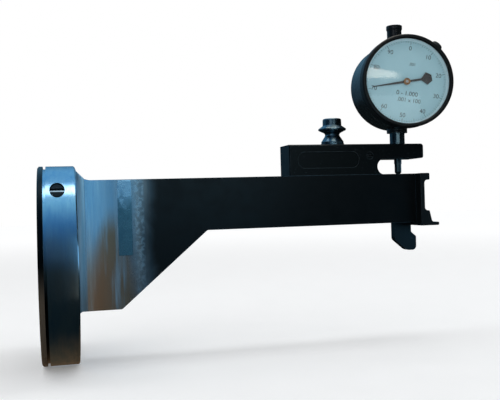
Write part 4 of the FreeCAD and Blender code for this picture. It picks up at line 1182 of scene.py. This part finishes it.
# %% Socket screws
def socket_screw(head, height, shank, length, across_flats):
    """A socket screw on Z, with the seat of its head at height 0."""
    socket = across_flats / 2
    rings = [
        (0, -length),
        (shank, -length),
        (shank, 0),
        (head, 0),
        (head, height - 0.25),
        (head - 0.08, height - 0.1),
        (head - 0.25, height),
        (sided(socket + 0.12), height),
        (sided(socket), height - 0.12),
        (sided(socket), height / 2),
        (0, height / 2 - 0.2),
    ]
    return spun(rings, 48)


# %% [markdown]
# The case's cover has small slotted screws. A slot isn't lathe work: it is sawn, and here it is
# cut out with a Boolean modifier, which takes one solid from another. The two shapes are in the
# scene only for as long as the cut takes.


# %% Slotted screws
def carved(body, cutter):
    """The body less the cutter, both given as bmeshes."""
    made = []
    for shape in (body, cutter):
        bmesh.ops.recalc_face_normals(shape, faces=shape.faces)
        mesh = bpy.data.meshes.new("carving")
        shape.to_mesh(mesh)
        shape.free()
        made.append(placed("carving", mesh))
    cut = made[0].modifiers.new("cut", "BOOLEAN")
    cut.operation, cut.solver, cut.object = "DIFFERENCE", "EXACT", made[1]
    result = bmesh.new()
    result.from_object(made[0], bpy.context.evaluated_depsgraph_get())
    for shape in made:
        bpy.data.meshes.remove(shape.data)
    return result


def slotted_screw(head, height, shank, length, slot):
    """A screw with a slot across its head, with the seat of its head at height 0."""
    rings = [(0, -length), (shank, -length), (shank, 0), (head, 0)]
    rings += [(head, height - 0.12), (head - 0.12, height), (0, height)]
    cutter = bmesh.new()
    bmesh.ops.create_cube(cutter, size=1.0)
    size = Matrix.Diagonal((*mm(3 * head, slot, height), 1))
    cutter.transform(Matrix.Translation(mm(0, 0, height)) @ size)
    return carved(spun(rings, 48), cutter)


# %% [markdown]
# The seats of the screws come from the boxes of the solids they replace and from the circle their
# holes lie on. The slots of the cover's four screws stop at different angles, as they do on any
# case that was screwed down by hand.

# %% Screws in their places
SHOE_SPREAD, SHOE_HEIGHTS, SHOE_HEAD, STEM_HEAD = 6.19, (30.2, 37.2), 1.8, 2.7
COVER_SCREW_CIRCLE, COVER_SCREW_SEAT = 23.625, -8.4

shoe_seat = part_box("end_shoe_screws")[1].x - SHOE_HEAD * MM
shoe_shapes = []
for y in (-SHOE_SPREAD, SHOE_SPREAD):
    for z in SHOE_HEIGHTS:
        place = standing_at(Vector((shoe_seat, y * MM, z * MM)), (1, 0, 0))
        shoe_shapes.append((socket_screw(2.6, SHOE_HEAD, 1.5, 7.5, 2.4), place))
shoe_screws = piece("shoe_screws", gathered(shoe_shapes), "gauge", black_oxide)
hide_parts("end_shoe_screws")

clamp_low, clamp_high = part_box("stem_clamp_screw")
clamp_middle = middle("stem_clamp_screw")
clamp_seat = Vector((clamp_middle.x, clamp_high.y - STEM_HEAD * MM, clamp_middle.z))
clamp_shape = socket_screw(2.7, STEM_HEAD, 1.5, (clamp_seat.y - clamp_low.y) / MM, 2.5)
clamp_place = standing_at(clamp_seat, (0, 1, 0))
stem_screw = piece("stem_screw", clamp_shape, "gauge", black_oxide, clamp_place)
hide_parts("stem_clamp_screw")

cover_shapes = []
for quarter in range(4):
    angle = math.radians(45 + 90 * quarter)
    x, y = COVER_SCREW_CIRCLE * math.cos(angle), COVER_SCREW_CIRCLE * math.sin(angle)
    seat = dial_place @ Matrix.Translation(mm(x, y, COVER_SCREW_SEAT))
    seat = seat @ Matrix.Rotation(math.pi, 4, "X")
    turn = Matrix.Rotation(math.radians(25 + 50 * quarter), 4, "Z")
    cover_shapes.append((slotted_screw(1.5, 0.6, 0.8, 3.0, 0.4), seat @ turn))
cover_screws = piece("cover_screws", gathered(cover_shapes), "gauge", satin)
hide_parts("case_cover_screws")

# %% [markdown]
# The bezel is clamped by a thumb screw. Its round head is knurled like the bezel's rim, only
# coarser, so the same ridged rings serve.

# %% Bezel clamp's thumb screw
thumb_joint = joints["bezel_clamp_turn"]
thumb_place = standing_at(Vector(thumb_joint["pos_m"]), thumb_joint["axis"])
THUMB_LOW, THUMB_HIGH, THUMB_RIDGES = 1.0, 3.3, 28
thumb_ridge = ridged(3.5, 0.22, THUMB_RIDGES)
thumb_rings = [
    (0, -3.725),
    (1.47, -3.725),
    (1.47, -0.325),
    (2.5, -0.325),
    (2.5, 0.45),
    (3.2, 0.75),
    (thumb_ridge, THUMB_LOW),
    (thumb_ridge, THUMB_HIGH),
    (3.2, 3.7),
    (2.6, 3.87),
    (1.0, 3.6),
    (0, 3.55),
]
thumb_shape = spun(thumb_rings, THUMB_RIDGES * 4)
thumb = piece(
    "bezel_thumb_screw", thumb_shape, "bezel_clamp", black_oxide, thumb_place
)
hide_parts("bezel_clamp_screw")

# %% [markdown]
# ## Flange screw
# The screw in the flange was dressed off with the rim, so its face has the rim's curve. Its face
# is blackened and its wide slot is worn bright, so that the slot shows the same white band of
# ceiling light as the rim beside it. The face is a disc bent to a cylinder a little inside the
# rim's; the slot is cut by an arched bar, and a thin bright arch lies on the slot's floor.

# %% Flange screw
screw_seat = middle("flange_set_screw")
SCREW_RADIUS, SCREW_CURVE, SCREW_BACK = 3.9, 55.9, 21.0
SLOT_HALF, SLOT_FLOOR = 0.95, 55.0
FAR_OUT = 500.0


def arched_bar(half_length, low_radius, high_radius, half_height):
    """A bar along X, bent round the flange's axis at the screw's height."""
    bm = bmesh.new()
    foot, top = screw_seat.z / MM - half_height, screw_seat.z / MM + half_height
    start, end = math.asin(foot / SCREW_CURVE), math.asin(top / SCREW_CURVE)
    loops = []
    for i in range(9):
        angle = start + (end - start) * i / 8
        rim = []
        for x, radius in ((-1, low_radius), (1, low_radius), (1, high_radius), (-1, high_radius)):
            up, out = radius * math.sin(angle) - screw_seat.z / MM, radius * math.cos(angle)
            rim.append(bm.verts.new(mm(x * half_length, up, out)))
        loops.append(rim)
    walled(bm, loops)
    return bm


face_rings = [(r, FAR_OUT) for r in (0, 1.3, 2.4, 3.2, 3.6)] + [(SCREW_RADIUS, FAR_OUT - 0.4)]
screw_shape = spun(face_rings + [(SCREW_RADIUS, SCREW_BACK), (0, SCREW_BACK)], 96)
for vert in screw_shape.verts:
    if vert.co.z > FAR_OUT / 2 * MM:
        rise = screw_seat.z + vert.co.y
        vert.co.z += math.sqrt((SCREW_CURVE * MM) ** 2 - rise**2) - FAR_OUT * MM
screw_shape = carved(screw_shape, arched_bar(6.0, SLOT_FLOOR, 60.0, SLOT_HALF))
screw_place = standing_at(Vector((screw_seat.x, 0, screw_seat.z)), (0, -1, 0))
flange_screw = piece("flange_screw", screw_shape, "gauge", screw_black, screw_place)
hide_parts("flange_set_screw")
slot_floor = arched_bar(3.7, SLOT_FLOOR - 0.02, SLOT_FLOOR + 0.05, SLOT_HALF - 0.02)
piece("flange_screw_slot", slot_floor, "gauge", satin, screw_place)

# %% [markdown]
# ## Root fillets
# Where the web meets the flange the corner is rounded out wide, and that hollow catches the light
# from the side as a bright upright band. The strip is a quarter-round hollow, and its top follows
# the larger fillet that sweeps up from the arm to the rim.

# %% Root fillets
FLANGE_END, WEB_SIDE, WEB_FOOT, ARM_TOP = 20.2, 9.525, -26.4, 47.9
ROOT_RADIUS, SWEEP_RADIUS, SUNK = 5.4, 8.8, 0.4


def root_fillet(side):
    """One hollow strip on the side of the web, given as -1 for the front or 1 for the back."""
    bm = bmesh.new()
    hollow = []
    for i in range(13):
        angle = math.pi / 2 * i / 12
        x = FLANGE_END + ROOT_RADIUS * (1 - math.cos(angle))
        hollow.append((x, WEB_SIDE + ROOT_RADIUS * (1 - math.sin(angle))))
    outline = hollow + [
        (FLANGE_END + ROOT_RADIUS, WEB_SIDE - SUNK),
        (FLANGE_END - SUNK, WEB_SIDE - SUNK),
        (FLANGE_END - SUNK, WEB_SIDE + ROOT_RADIUS),
    ]
    feet, tops = [], []
    for x, out in outline:
        reach = max(0.0, FLANGE_END + SWEEP_RADIUS - x)
        sweep = SWEEP_RADIUS - math.sqrt(max(0.0, SWEEP_RADIUS**2 - min(reach, SWEEP_RADIUS) ** 2))
        top = ARM_TOP + min(sweep, SWEEP_RADIUS - 2.2) - 0.1
        feet.append(bm.verts.new(mm(x, side * out, WEB_FOOT + 0.1)))
        tops.append(bm.verts.new(mm(x, side * out, top)))
    walled(bm, [feet, tops])
    bmesh.ops.triangulate(bm, faces=[face for face in bm.faces if len(face.verts) > 4])
    return bm


fillets = gathered([(root_fillet(side), Matrix()) for side in (-1, 1)])
piece("root_fillets", fillets, "gauge", steel_frame, sharp=40.0)

# %% [markdown]
# ## Marking strip
# A narrow upright strip sits on the web near the flange. It is a plain thin plate with rounded
# corners and a small bevel, so that its edge shows as a fine line of light.

# %% Marking strip
STRIP_WIDTH, STRIP_HEIGHT, STRIP_THICKNESS, STRIP_BEVEL = 8.0, 43.0, 0.3, 0.12
STRIP_CORNER, STRIP_MIDDLE = 0.7, mm(47.6, -9.525, 25.7)
# The strip's lighter colour, and the range below that brings it in, are a painted sheen at its top
# end, where it mirrors the ceiling light.
STRIP_DULL, STRIP_PAINTED_SHEEN, STRIP_SPECKS = rgb(86, 124, 140), rgb(150, 190, 216), rgb(40, 52, 58)
SHEEN_FROM, SHEEN_FULL, SHEEN_WANDER = 6 * MM, 18 * MM, 6 * MM


def rounded_plate(width, height, thickness, bevel, corner):
    half_w, half_h = width / 2, height / 2
    signs = ((-1, -1), (1, -1), (1, 1), (-1, 1))
    outline = softened([(x * half_w, y * half_h, corner) for x, y in signs])
    bm = bmesh.new()
    loops = []
    for shrink, z in ((0, 0), (0, thickness - bevel), (bevel, thickness)):
        scale = ((half_w - shrink) / half_w, (half_h - shrink) / half_h)
        loops.append([bm.verts.new(mm(x * scale[0], y * scale[1], z)) for x, y in outline])
    walled(bm, loops)
    return bm


def strip_finish():
    """Lighter at its top end by a painted sheen, and plainer below."""
    made, tree = new_material("strip steel")
    place = place_of(tree)
    marks = use_group(tree, handling, place=place, size_mm=5.0)
    up = node(tree, "SeparateXYZ", {"Vector": place}).outputs["Y"]
    up = maths(tree, "ADD", up, product(tree, marks["Smudge"], SHEEN_WANDER))
    # Painted sheen: the colour turns lighter towards the strip's top end.
    painted_sheen = fit(tree, up, SHEEN_FROM, SHEEN_FULL, smooth=True)
    colour = mix_colour(tree, painted_sheen, STRIP_DULL, STRIP_PAINTED_SHEEN)
    colour = mix_colour(tree, product(tree, marks["Specks"], 0.5), colour, STRIP_SPECKS)
    rough = fit(tree, marks["Smudge"], 0.0, 1.0, 0.2, 0.32)
    finish_with(tree, principled(tree, base_color=colour, roughness=rough, metallic=1.0))
    return made


strip_steel = strip_finish()
strip_place = standing_at(STRIP_MIDDLE, (0, -1, 0))
strip_shape = rounded_plate(
    STRIP_WIDTH, STRIP_HEIGHT, STRIP_THICKNESS, STRIP_BEVEL, STRIP_CORNER
)
piece("marking_strip", strip_shape, "gauge", strip_steel, strip_place, sharp=20.0)
